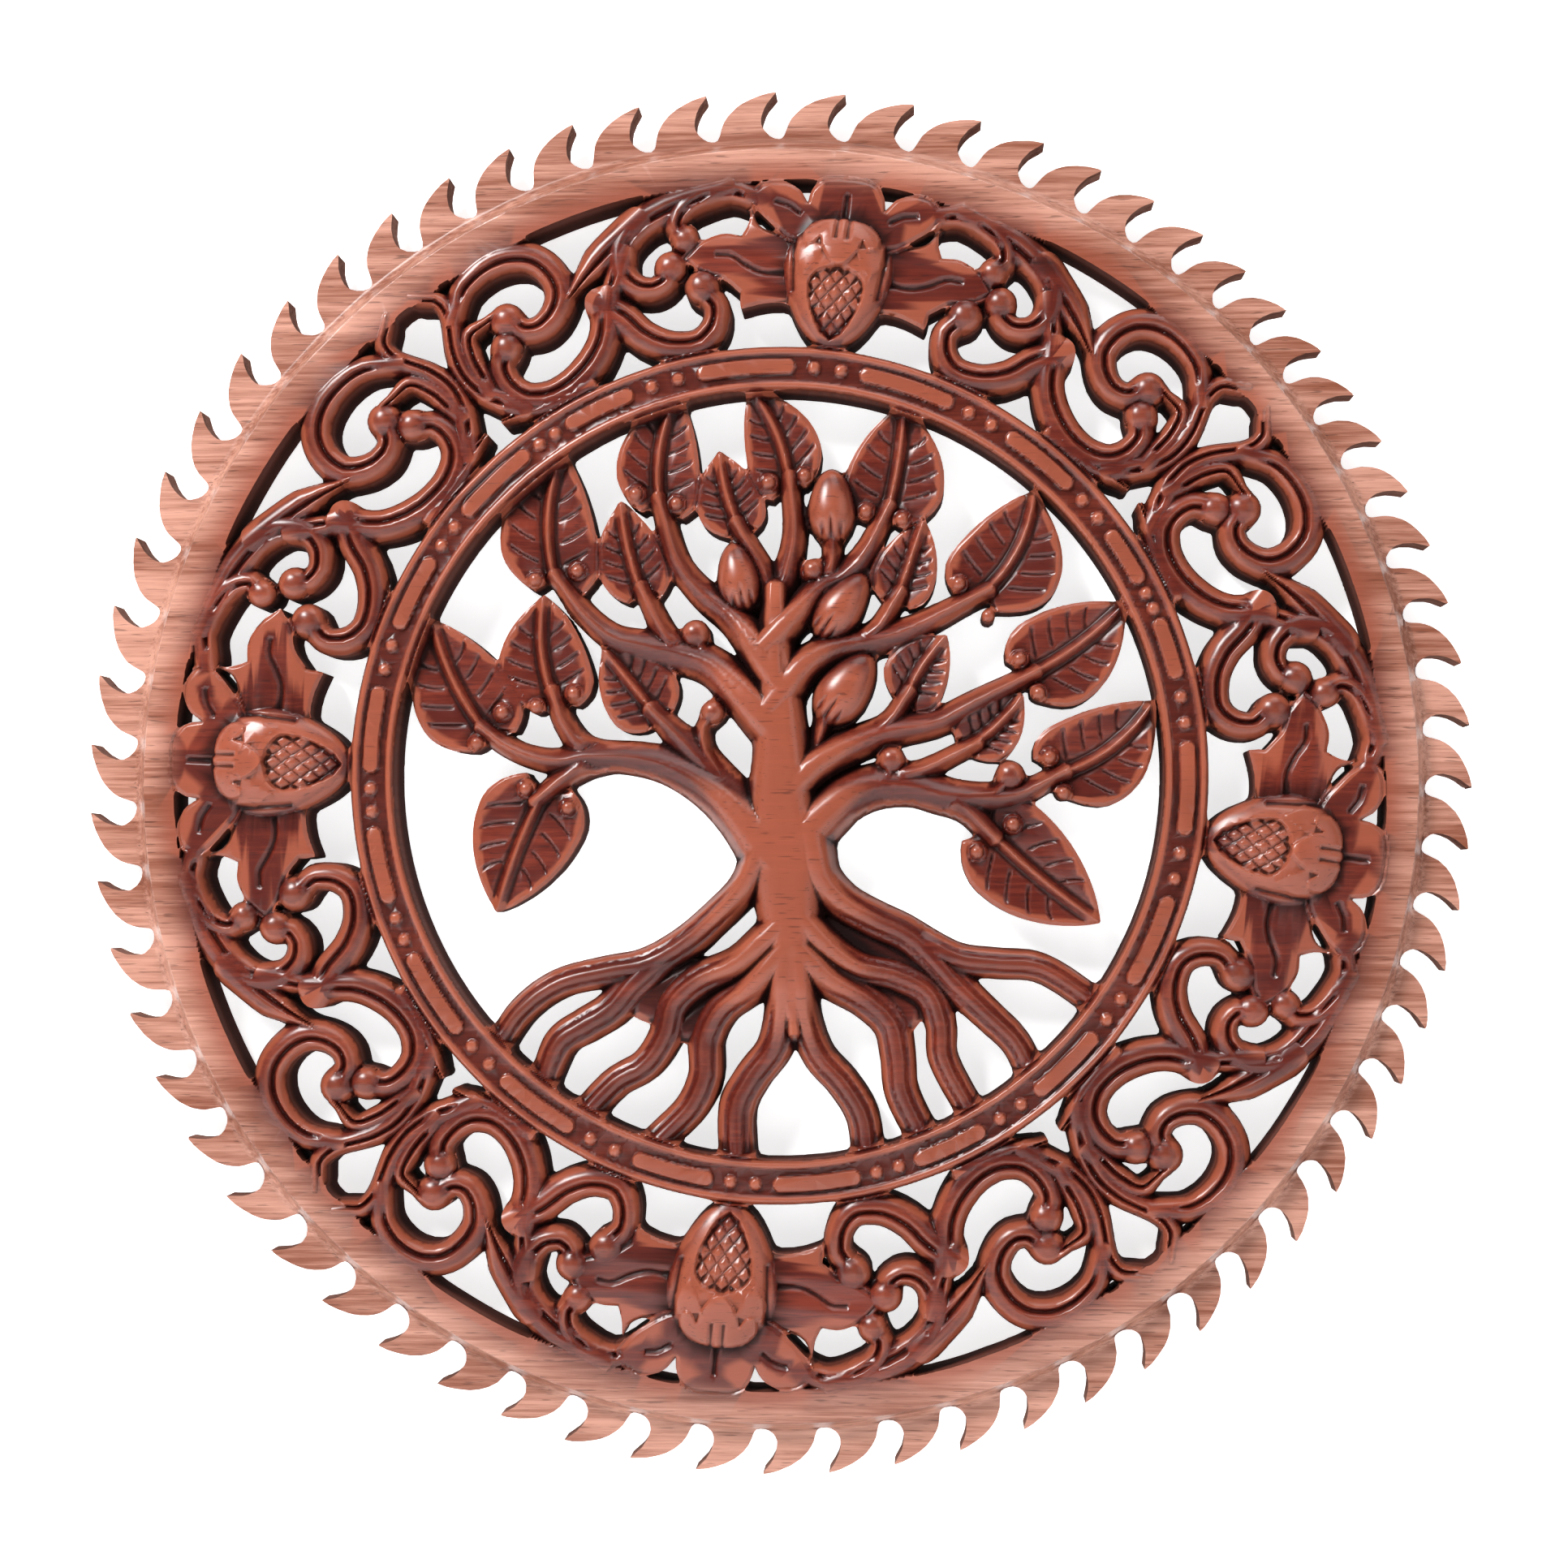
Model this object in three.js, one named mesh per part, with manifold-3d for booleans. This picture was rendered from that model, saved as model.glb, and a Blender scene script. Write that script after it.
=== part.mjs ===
import * as THREE from 'three';
import { mergeVertices } from 'three/addons/utils/BufferGeometryUtils.js';
import Module from 'manifold-3d';

const wasm = await Module();
wasm.setup();

// Round pierced wall panel carved from one board. Sizes are in millimetres.
// The relief is laid out as x right, y up and z out of the board, with the flat back on z = 0.
// The finished panel is turned so that its front faces -Y and the tree stands along +Z.

// Toothed edge
const toothCount = 66;
const toothOffset = -0.1;
const toothTipRadius = 202.5;
const toothCentre = [-0.8, 1.6];
const toothBackRadius = 199;
const toothThroatRadius = 193;
const toothGulletRadius = 188;
const toothHeight = 9.5;
// Where a tooth's gullet, back and throat lie behind its tip, as shares of the pitch
const toothGulletShare = 0.88;
const toothBackShare = 0.6;
const toothThroatShare = 0.25;
// The hand-cut teeth are unevenly spaced: turns round the panel, size and phase in degrees
const toothSwings = [
  { turns: 1, size: 5.5, phase: 96 }, { turns: 2, size: 0.9, phase: 57 }, { turns: 3, size: 0.45, phase: 31 },
  { turns: 4, size: 0.25, phase: -14 }, { turns: 5, size: 0.4, phase: -34 },
];

// Plain rim
const rimInnerRadius = 176.5;
const rimOuterRadius = 186;
const rimHeight = 15.5;
const rimSegments = 54;
const rimCoreSides = 24;

// Beaded ring around the tree
const ringCentre = [0.9, 2];
const ringInnerRadius = 112.2;
const ringOuterRadius = 124.6;
const ringRailWidth = 2.9;
const ringRailHeight = 18;
const ringChannelHeight = 14.8;
const ringSegments = 38;
const barRadius = 118.7;
const barHalfWidth = 2.5;
const barHeight = 17.2;
const beadRadius = 2.5;
const beadHeight = 17.6;
const beadSides = 5;
const beadFootSpread = 1.2;
const beadFootDepth = 1;
const beadShares = [0.31, 0.69];
const barSpans = [
  [12.3, 25.3], [34.8, 45.7], [54.5, 62.3], [68.6, 76.6], [86.2, 98.5], [108, 120.5],
  [129.7, 140.7], [150, 160], [168.5, 180], [189.2, 200], [210, 221.7], [231, 243.3],
  [251.8, 262], [270.5, 282], [291.3, 301.7], [310, 322], [329.2, 339], [349.2, 362.3],
];

// Scroll band between the ring and the rim: four flowers and four scroll axes, clockwise from the top
const flowerAngles = [7.3, 97.9, 185.7, 272.1];
const scrollAngles = [51.9, 141.7, 226.9, 321.7];
const repeatAngle = 45;
const bandInnerRadius = 125.5;
const bandOuterRadius = 176.5;
const bandWallHeight = 12.5;
const bandStrokeHeight = 14.5;
const bulbHeight = 16.5;
const leafPlateHeight = 12.5;
const budHeight = 20;

// Tree
const leafEdgeHeight = 11.5;
const leafRibHeight = 15;
const branchWallHeight = 11.5;
const branchCrestHeight = 16.5;
const trunkHeight = 19.5;
const rootWallHeight = 12;
const rootCrestHeight = 16.5;
const treeBudHeight = 17.5;

const trunkLine = [[6, -70], [4.8, -38], [3.6, -23], [2.6, -8], [1.8, 18], [0.7, 52]];
const trunkHalfWidths = [2.4, 9.4, 13.6, 10.4, 7.4, 3.8];
const trunkTaper = 2;

// Each branch: the points its crest passes through, then its half width at the foot and at the end
const branches = [
  { line: [[-3, -17], [-10, -8], [-17, 1], [-24, 9], [-33.5, 18.5]], half: [8.4, 3.6] },
  { line: [[-18, -1], [-28, 3], [-38, 6.2], [-54, 7.5]], half: [6, 4.2] },
  { line: [[-52, 7.5], [-58, 12], [-62, 18], [-64, 23.5]], half: [4.2, 3] },
  { line: [[-52, 7], [-62, 5.5], [-71, 7], [-79, 10.5], [-83.5, 13.8]], half: [4.2, 3] },
  { line: [[-52, 6.5], [-60, 2], [-67.5, -4]], half: [4.2, 3] },
  {
    line: [[-3, 18], [-11, 27], [-19, 34], [-38, 39.5], [-47, 42], [-55, 48.5], [-62.5, 58]],
    half: [7.2, 3],
  },
  { line: [[-25, 37], [-31, 42], [-37.5, 54]], half: [4.2, 3] },
  { line: [[-1.5, 33], [-6, 40], [-13, 48.5], [-21, 55], [-28, 64], [-33, 80]], half: [6, 3] },
  { line: [[0.5, 34], [0, 56]], half: [4.8, 4.2] },
  { line: [[0, 53], [-3, 61], [-9.5, 73]], half: [4.2, 3] },
  { line: [[0, 53], [4, 61], [6, 72], [5, 86]], half: [4.2, 3] },
  { line: [[1.5, 43], [8, 50], [14, 56.5], [21, 60], [27, 67], [32.5, 77.5]], half: [5.4, 3] },
  { line: [[15, 57], [17, 64], [17, 71.5]], half: [3.1, 3.1] },
  { line: [[3, 26], [9, 33.5], [17, 38], [36, 42.5], [60, 54]], half: [6, 3] },
  { line: [[23, 39.5], [30, 44], [35.5, 52.5]], half: [3.6, 2.8] },
  { line: [[7, -1], [12, 4], [29, 12.8], [48, 17], [57, 21.8], [73.5, 30]], half: [6, 3] },
  { line: [[28, 12], [34, 17.5], [38, 23.5]], half: [3.6, 2.8] },
  { line: [[11, 3], [13, 11], [15, 18.5]], half: [2.8, 3.1] },
  {
    line: [[7, -17], [14, -11], [21, -5], [30, -1.8], [40, -1.8], [50, -4.5], [70, -4.5], [82, 1]],
    half: [8.4, 3.1],
  },
  { line: [[31, 0.5], [42, 2.5], [56.5, 9.3]], half: [3.6, 2.8] },
  { line: [[49, -4.5], [56, -8.5], [62, -14.5]], half: [4.8, 3.4] },
];

// Each root, from the trunk out to the ring
const roots = [
  {
    line: [[-5, -29], [-14, -37], [-25, -47], [-37, -53.5], [-50, -56], [-63, -59.5], [-73, -66.5],
      [-80, -76]],
    half: [5.2, 4.2],
  },
  { line: [[-30, -51], [-41, -59.5], [-47, -66.5], [-55, -71.5], [-62, -76], [-67, -87]], half: [5.4, 4.4] },
  {
    line: [[-2, -46], [-10, -53], [-22, -58.5], [-29, -65], [-31.5, -74], [-37, -82.5], [-46, -88],
      [-54, -96]],
    half: [5.4, 4.6],
  },
  {
    line: [[0, -53], [-7, -60.5], [-15, -66.5], [-19.5, -75], [-20, -86], [-24, -95], [-33, -104]],
    half: [5.4, 4.8],
  },
  { line: [[3, -56], [2.5, -68], [0, -78], [-6, -86], [-10.5, -95], [-10.5, -111]], half: [5.4, 5.4] },
  { line: [[8, -58], [9, -69], [13, -80], [20, -88], [25.5, -97], [27.5, -110]], half: [4.8, 4.8] },
  { line: [[8, -50], [16, -57.5], [27, -64], [34, -71], [36, -80], [37, -90], [43, -103]], half: [6, 4.8] },
  {
    line: [[9, -41], [15, -47.5], [24, -54], [36, -57], [45, -62], [48.5, -71], [49, -80], [57, -96]],
    half: [5.4, 4.2],
  },
  {
    line: [[9, -28], [18, -34.5], [29, -40.5], [40, -46], [54, -60.5], [63, -69], [70, -76], [75, -86]],
    half: [6, 4.3],
  },
  { line: [[44, -47], [54, -52], [65, -53.3], [77, -54.5], [94, -65]], half: [4.8, 4.3] },
];

// Each leaf: the notch between its lobes, its tip, its full width and how far its rib bows to the left
const leaves = [
  { notch: [-64.5, 60], tip: [-62, 97], width: 29, bow: 3 },
  { notch: [-33.5, 82], tip: [-28, 114], width: 25, bow: 2.5 },
  { notch: [4.5, 88], tip: [-7, 115], width: 22.5, bow: -2 },
  { notch: [33.5, 79], tip: [38, 110], width: 29, bow: -1 },
  { notch: [62, 55], tip: [76, 84], width: 31.5, bow: -3 },
  { notch: [75.5, 31], tip: [102, 51], width: 29, bow: -1.5 },
  { notch: [84, 2], tip: [110, 22.5], width: 29, bow: -3 },
  { notch: [63, -15.5], tip: [94.5, -41.5], width: 30, bow: -1 },
  { notch: [-68, -4.5], tip: [-81, -38.5], width: 31.5, bow: -1 },
  { notch: [-85, 15], tip: [-100.5, 47.5], width: 30, bow: 2 },
  { notch: [-65, 25], tip: [-67.5, 54.5], width: 27, bow: 2 },
  { notch: [-35, 20], tip: [-50, 38.5], width: 22.5, bow: 0 },
  { notch: [-39, 56], tip: [-45, 82], width: 20, bow: 1 },
  { notch: [-10.5, 75], tip: [-16, 96.5], width: 19.5, bow: 1 },
  { notch: [36.5, 54], tip: [44, 76], width: 18, bow: 0 },
  { notch: [39, 25], tip: [50.5, 42], width: 19, bow: 1 },
  { notch: [58, 10.5], tip: [72.5, 24.5], width: 17.5, bow: -1 },
];
const leafStations = [-0.13, 0.1, 0.42, 0.75, 1];
const leafWidthShares = [0.58, 0.98, 0.96, 0.5, 0.04];

// Each bud on the tree: foot, tip and full width
const treeBuds = [
  { foot: [17, 70], tip: [17, 90.5], width: 14 },
  { foot: [-8.5, 50], tip: [-12, 69], width: 13 },
  { foot: [13.5, 42], tip: [26.5, 59.5], width: 13.5 },
  { foot: [14.5, 17.5], tip: [28, 36], width: 15.5 },
];
const budStations = [0, 0.15, 0.4, 0.7, 1];
const budWidthShares = [0.45, 0.82, 1, 0.72, 0.12];

// Each curled twig: the points of its stem, then the radius of the knob at its end
const treeCurls = [
  { line: [[-16, 1], [-20, 9], [-20.5, 15], [-18.5, 18.5]], knob: 3.4 },
  { line: [[-19, 34], [-22, 41]], knob: 4 },
  { line: [[15, 56], [12.5, 60]], knob: 3 },
  { line: [[33, 0], [34, 4]], knob: 3.8 },
  { line: [[57, -5], [65, -3.5], [67.5, -0.5]], knob: 4.2 },
];
const curlHalfWidth = 2.6;

// Half of one repeat of the scroll band. Points are x along the band and y outward from the panel
// centre, seen with the flower's axis upright, or with the scroll axis upright.
const flowerStrokes = [
  {
    line: [[28, 169.5], [34, 170.5], [41, 168.3], [47, 163.5], [48.5, 158.5], [46.8, 156.2]],
    half: [4, 3.6],
    knob: 4.2,
  },
  {
    line: [[45, 166], [54, 162], [61, 155.5], [63.5, 148.5], [62, 142.5], [58, 139], [53, 138.5], [49.3, 141],
      [48.8, 143]],
    half: [5, 3.8],
    knob: 4.8,
  },
  {
    line: [[66, 132], [60, 129], [53, 124.2], [45, 122.2], [37, 124], [33.5, 129], [33.5, 135],
      [36.5, 138.5]],
    half: [5, 4.2],
    knob: 5.2,
  },
  { line: [[62, 154], [69, 146.5], [76.5, 134]], half: [4.3, 2.4] },
];
const scrollStrokes = [
  {
    line: [[8.5, 133.5], [4.5, 141.5], [3, 149], [4.5, 156.5], [10, 168], [9.6, 173], [6.5, 176]],
    half: [3.6, 3],
  },
  { line: [[5.5, 144], [7, 152.5], [10.5, 158.5], [17.5, 158.5]], half: [3.4, 3] },
  {
    line: [[12, 167], [18, 171], [26, 172], [33.5, 170], [39, 165], [40.8, 158], [39, 151.5], [34, 147.8],
      [28.5, 147], [24.5, 149], [23, 152.5]],
    half: [4, 4.4],
    knob: 5.2,
  },
  {
    line: [[47, 139.5], [40.5, 132.5], [33.5, 129], [25.5, 127.8], [18, 129.2], [12.8, 133.2], [11, 139],
      [12.2, 144.5], [15, 147]],
    half: [4.8, 4.4],
    knob: 4.8,
  },
  { line: [[17, 126.5], [4.5, 131.3]], half: [4.1, 1.9] },
];
// Right half of a flower's leaves, from the middle lobe at the rim round to the foot at the ring
const flowerLeafOutline = [
  [5, 176], [9.5, 172.5], [12.5, 169], [19, 172.7], [25.5, 171.8], [28, 168.5], [17, 159.5], [23, 159],
  [27.5, 164.3], [30, 157], [38, 155.3], [45.5, 148], [38, 143], [27, 139.5], [27, 135.3], [14, 138.5],
];
const flowerBudFoot = 127;
const flowerBudTop = 165;
const flowerBudHalfWidth = 16;
const flowerBudStations = [0, 0.18, 0.4, 0.62, 0.85, 1];
const flowerBudWidthShares = [0.38, 0.7, 0.93, 1, 0.68, 0.12];
const petalTip = 149;
const petalTop = 162;
const petalHalfWidth = 6.5;
const petalHeight = 21;
const petalFootHeight = 18;
const petalStations = [0, 0.45, 1];
const petalWidthShares = [0.7, 1, 0.1];

const sinkDepth = 2;
const bandBend = 52;
const treeBend = 40;
const longestStep = 26;
const curveSamples = 120;
const weldDistance = 1e-4;
// How a blade keeps its crest where it narrows, and how a knob swells: reach along and spread across
const bladeFullness = 0.35;
const knobStations = [[0.75, 1], [1.9, 0.45]];

// Section of a stroke: [share of the half width, share of the way from wall height to crest height]
const ridgeSection = [[1, 0], [0, 1], [-1, 0]];
const flatSection = [[1, 1], [-1, 1]];
const domeSection = [[1, 0], [0.62, 0.75], [0, 1], [-0.62, 0.75], [-1, 0]];

const radians = THREE.MathUtils.degToRad;

function onCircle(radius, clockAngle, centre = [0, 0]) {
  const turn = radians(clockAngle);
  return [centre[0] + radius * Math.sin(turn), centre[1] + radius * Math.cos(turn)];
}

function solidOf(geometry) {
  geometry.deleteAttribute('normal');
  geometry.deleteAttribute('uv');
  const welded = mergeVertices(geometry, weldDistance);
  const mesh = new wasm.Mesh({
    numProp: 3,
    vertProperties: new Float32Array(welded.attributes.position.array),
    triVerts: new Uint32Array(welded.index.array),
  });
  return new wasm.Manifold(mesh);
}

// Closed body through cross sections: each station has a place, a direction, half width and heights
function strokeSolid(stations, section) {
  const positions = [];
  const indices = [];
  const ring = section.length + 2;
  for (const { at, along, half, wall, crest } of stations) {
    const across = [along[1], -along[0]];
    const corners = [[-1, -sinkDepth], [1, -sinkDepth]];
    for (const [side, rise] of section) {
      corners.push([side, wall + (crest - wall) * rise]);
    }
    for (const [side, height] of corners) {
      positions.push(at[0] + across[0] * side * half, at[1] + across[1] * side * half, height);
    }
  }
  for (let i = 0; i + 1 < stations.length; i += 1) {
    for (let j = 0; j < ring; j += 1) {
      const a = i * ring + j;
      const b = i * ring + ((j + 1) % ring);
      indices.push(a, b + ring, b, a, a + ring, b + ring);
    }
  }
  const last = (stations.length - 1) * ring;
  for (let j = 1; j + 1 < ring; j += 1) {
    indices.push(0, j, j + 1);
    indices.push(last, last + j + 1, last + j);
  }
  const geometry = new THREE.BufferGeometry();
  geometry.setAttribute('position', new THREE.Float32BufferAttribute(positions, 3));
  geometry.setIndex(indices);
  return solidOf(geometry);
}

// Smooth line through points, cut into steps that turn by no more than the given angle
function lineStations(points, half, wall, crest, bend) {
  const places = points.map(([x, y]) => new THREE.Vector3(x, y, 0));
  const curve = new THREE.CatmullRomCurve3(places, false, 'centripetal');
  const length = curve.getLength();
  const stations = [];
  let turned = 0;
  let travelled = 0;
  let before = curve.getTangentAt(0);
  for (let i = 0; i <= curveSamples; i += 1) {
    const share = i / curveSamples;
    const tangent = curve.getTangentAt(share);
    turned += THREE.MathUtils.radToDeg(before.angleTo(tangent));
    travelled += length / curveSamples;
    before = tangent;
    if (i === 0 || i === curveSamples || turned > bend || travelled > longestStep) {
      const place = curve.getPointAt(share);
      stations.push({
        at: [place.x, place.y],
        along: [tangent.x, tangent.y],
        half: THREE.MathUtils.lerp(half[0], half[1], share),
        wall,
        crest,
      });
      turned = 0;
      travelled = 0;
    }
  }
  return stations;
}

// Swells the end of a stroke into a rounded knob of the given radius
function addKnob(stations, radius = 0, height = 0) {
  const { at, along, wall } = stations[stations.length - 1];
  for (const [reach, spread] of radius ? knobStations : []) {
    stations.push({
      at: [at[0] + along[0] * radius * reach, at[1] + along[1] * radius * reach],
      along,
      half: radius * spread,
      wall,
      crest: height,
    });
  }
}

// Body along a straight or bowed axis whose width follows a list of shares
function bladeStations(start, end, bow, shares, widthShares, halfWidth, wall, crest) {
  const along = [end[0] - start[0], end[1] - start[1]];
  const length = Math.hypot(along[0], along[1]);
  const unit = [along[0] / length, along[1] / length];
  const leftward = [-unit[1], unit[0]];
  return shares.map((share, i) => {
    const side = bow * 4 * share * (1 - share);
    const lean = (bow * 4 * (1 - 2 * share)) / length;
    const heading = [unit[0] + leftward[0] * lean, unit[1] + leftward[1] * lean];
    const size = Math.hypot(heading[0], heading[1]);
    return {
      at: [0, 1].map((axis) => start[axis] + along[axis] * share + leftward[axis] * side),
      along: [heading[0] / size, heading[1] / size],
      half: halfWidth * widthShares[i],
      wall,
      crest: wall + (crest - wall) * Math.min(1, widthShares[i] + bladeFullness),
    };
  });
}

function beadSolid(centre) {
  const foot = ringChannelHeight - beadFootDepth;
  const profile = [[0, foot], [beadRadius * beadFootSpread, foot], [0, beadHeight]];
  const geometry = new THREE.LatheGeometry(profile.map(([x, y]) => new THREE.Vector2(x, y)), beadSides);
  geometry.rotateX(Math.PI / 2);
  geometry.translate(centre[0], centre[1], 0);
  return solidOf(geometry);
}

function ringSolid(profile, segments, centre) {
  const loop = [...profile, profile[0]].map(([radius, height]) => new THREE.Vector2(radius, height));
  const geometry = new THREE.LatheGeometry(loop, segments);
  geometry.rotateX(Math.PI / 2);
  geometry.translate(centre[0], centre[1], 0);
  return solidOf(geometry);
}

function plateSolid(outline, height, holes = []) {
  const shape = new THREE.Shape(outline.map(([x, y]) => new THREE.Vector2(x, y)));
  for (const hole of holes) {
    shape.holes.push(new THREE.Path(hole.map(([x, y]) => new THREE.Vector2(x, y))));
  }
  const geometry = new THREE.ExtrudeGeometry(shape, { depth: height + sinkDepth, bevelEnabled: false });
  geometry.translate(0, 0, -sinkDepth);
  return solidOf(geometry);
}

function toothedEdge() {
  const outline = [];
  const pitch = 360 / toothCount;
  for (let i = 0; i < toothCount; i += 1) {
    let tip = i * pitch - toothOffset;
    for (const { turns, size, phase } of toothSwings) {
      tip += size * Math.sin(radians(turns * i * pitch + phase));
    }
    outline.push(
      onCircle(toothGulletRadius, tip - pitch * toothGulletShare, toothCentre),
      onCircle(toothBackRadius, tip - pitch * toothBackShare, toothCentre),
      onCircle(toothTipRadius, tip, toothCentre),
      onCircle(toothThroatRadius, tip - pitch * toothThroatShare, toothCentre),
    );
  }
  const hole = [];
  for (let i = 0; i < rimCoreSides; i += 1) {
    hole.push(onCircle((rimInnerRadius + rimOuterRadius) / 2, (i * 360) / rimCoreSides));
  }
  return plateSolid(outline.reverse(), toothHeight, [hole]);
}

function rim() {
  return ringSolid([
    [rimInnerRadius, -sinkDepth], [rimOuterRadius, -sinkDepth], [rimOuterRadius, rimHeight],
    [rimInnerRadius, rimHeight],
  ], rimSegments, [0, 0]);
}

function beadedRing() {
  const parts = [ringSolid([
    [ringInnerRadius, -sinkDepth], [ringOuterRadius, -sinkDepth], [ringOuterRadius, ringRailHeight],
    [ringOuterRadius - ringRailWidth, ringChannelHeight],
    [ringInnerRadius + ringRailWidth, ringChannelHeight], [ringInnerRadius, ringRailHeight],
  ], ringSegments, ringCentre)];
  barSpans.forEach(([start, end], i) => {
    const stations = [start, end].map((angle) => ({
      at: onCircle(barRadius, angle, ringCentre),
      along: onCircle(1, angle + 90),
      half: barHalfWidth,
      wall: barHeight,
      crest: barHeight,
    }));
    parts.push(strokeSolid(stations, flatSection));
    const next = i + 1 < barSpans.length ? barSpans[i + 1][0] : barSpans[0][0] + 360;
    for (const share of beadShares) {
      parts.push(beadSolid(onCircle(barRadius, end + (next - end) * share, ringCentre)));
    }
  });
  return parts;
}

// Turns a point of the half repeat to its place in the band, fitted between the ring and the rim
function bandPoint([x, y], flowerAngle, scrollAngle, fromScroll) {
  const angle = THREE.MathUtils.radToDeg(Math.atan2(x, y));
  const share = fromScroll ? 1 - angle / repeatAngle : angle / repeatAngle;
  const clockAngle = THREE.MathUtils.lerp(flowerAngle, scrollAngle, share);
  const outward = (Math.hypot(x, y) - bandInnerRadius) / (bandOuterRadius - bandInnerRadius);
  const toward = onCircle(1, clockAngle);
  const inner = ringOuterRadius + ringCentre[0] * toward[0] + ringCentre[1] * toward[1];
  return onCircle(THREE.MathUtils.lerp(inner, rimInnerRadius, outward), clockAngle);
}

function bandStrokes(strokes, flowerAngle, scrollAngle, fromScroll) {
  const parts = [];
  const place = (point) => bandPoint(point, flowerAngle, scrollAngle, fromScroll);
  for (const { line, half, knob } of strokes) {
    const stations = lineStations(line.map(place), half, bandWallHeight, bandStrokeHeight, bandBend);
    addKnob(stations, knob, bulbHeight);
    parts.push(strokeSolid(stations, flatSection));
  }
  return parts;
}

function flower(angle) {
  const place = ([x, y]) => {
    const toward = onCircle(1, angle);
    return [toward[0] * y + toward[1] * x, toward[1] * y - toward[0] * x];
  };
  const mirrored = flowerLeafOutline.map(([x, y]) => [-x, y]).reverse();
  const parts = [plateSolid([...flowerLeafOutline, ...mirrored].reverse().map(place), leafPlateHeight)];
  parts.push(strokeSolid(
    bladeStations(place([0, flowerBudFoot]), place([0, flowerBudTop]), 0, flowerBudStations,
      flowerBudWidthShares, flowerBudHalfWidth, bandWallHeight, budHeight),
    domeSection,
  ));
  parts.push(strokeSolid(
    bladeStations(place([0, petalTop]), place([0, petalTip]), 0, petalStations, petalWidthShares,
      petalHalfWidth, petalFootHeight, petalHeight),
    ridgeSection,
  ));
  return parts;
}

function scrollBand() {
  const parts = [];
  flowerAngles.forEach((angle, i) => {
    const after = scrollAngles[i];
    const before = i === 0 ? scrollAngles[scrollAngles.length - 1] - 360 : scrollAngles[i - 1];
    for (const scrollAngle of [before, after]) {
      parts.push(...bandStrokes(flowerStrokes, angle, scrollAngle, false));
      parts.push(...bandStrokes(scrollStrokes, angle, scrollAngle, true));
    }
    parts.push(...flower(angle));
  });
  return parts;
}

function trunk() {
  const foot = trunkLine[0][1];
  const top = trunkLine[trunkLine.length - 1][1];
  const stations = trunkLine.map((at, i) => ({
    at,
    along: [0, 1],
    half: trunkHalfWidths[i],
    wall: branchWallHeight,
    crest: trunkHeight - (trunkTaper * (at[1] - foot)) / (top - foot),
  }));
  return strokeSolid(stations, domeSection);
}

function tree() {
  const parts = [trunk()];
  for (const { line, half } of branches) {
    const stations = lineStations(line, half, branchWallHeight, branchCrestHeight, treeBend);
    parts.push(strokeSolid(stations, ridgeSection));
  }
  for (const { line, half } of roots) {
    const stations = lineStations(line, half, rootWallHeight, rootCrestHeight, treeBend);
    parts.push(strokeSolid(stations, ridgeSection));
  }
  for (const { notch, tip, width, bow } of leaves) {
    parts.push(strokeSolid(
      bladeStations(notch, tip, bow, leafStations, leafWidthShares, width / 2, leafEdgeHeight, leafRibHeight),
      ridgeSection,
    ));
  }
  for (const { foot, tip, width } of treeBuds) {
    parts.push(strokeSolid(
      bladeStations(foot, tip, 0, budStations, budWidthShares, width / 2, branchWallHeight, treeBudHeight),
      domeSection,
    ));
  }
  for (const { line, knob } of treeCurls) {
    const half = [curlHalfWidth, curlHalfWidth];
    const stations = lineStations(line, half, branchWallHeight, branchCrestHeight, treeBend);
    addKnob(stations, knob, branchCrestHeight);
    parts.push(strokeSolid(stations, ridgeSection));
  }
  return parts;
}

function carvedPanel() {
  const whole = wasm.Manifold.union([toothedEdge(), rim(), ...beadedRing(), ...scrollBand(), ...tree()]);
  const side = 4 * toothTipRadius;
  const behind = new THREE.BoxGeometry(side, side, side);
  behind.translate(0, 0, -side / 2);
  const mesh = whole.subtract(solidOf(behind)).getMesh();
  const geometry = new THREE.BufferGeometry();
  geometry.setAttribute('position', new THREE.Float32BufferAttribute(mesh.vertProperties, 3));
  geometry.setIndex(new THREE.Uint32BufferAttribute(mesh.triVerts, 1));
  geometry.rotateX(Math.PI / 2);
  geometry.computeVertexNormals();
  return geometry;
}

const wood = new THREE.MeshStandardMaterial({ color: 0x8a4226, roughness: 0.42, metalness: 0 });
const panel = new THREE.Mesh(carvedPanel(), wood);
panel.name = 'carved_panel';

const group = new THREE.Group();
group.name = 'carved_wall_panel';
group.add(panel);

export default group;
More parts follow.
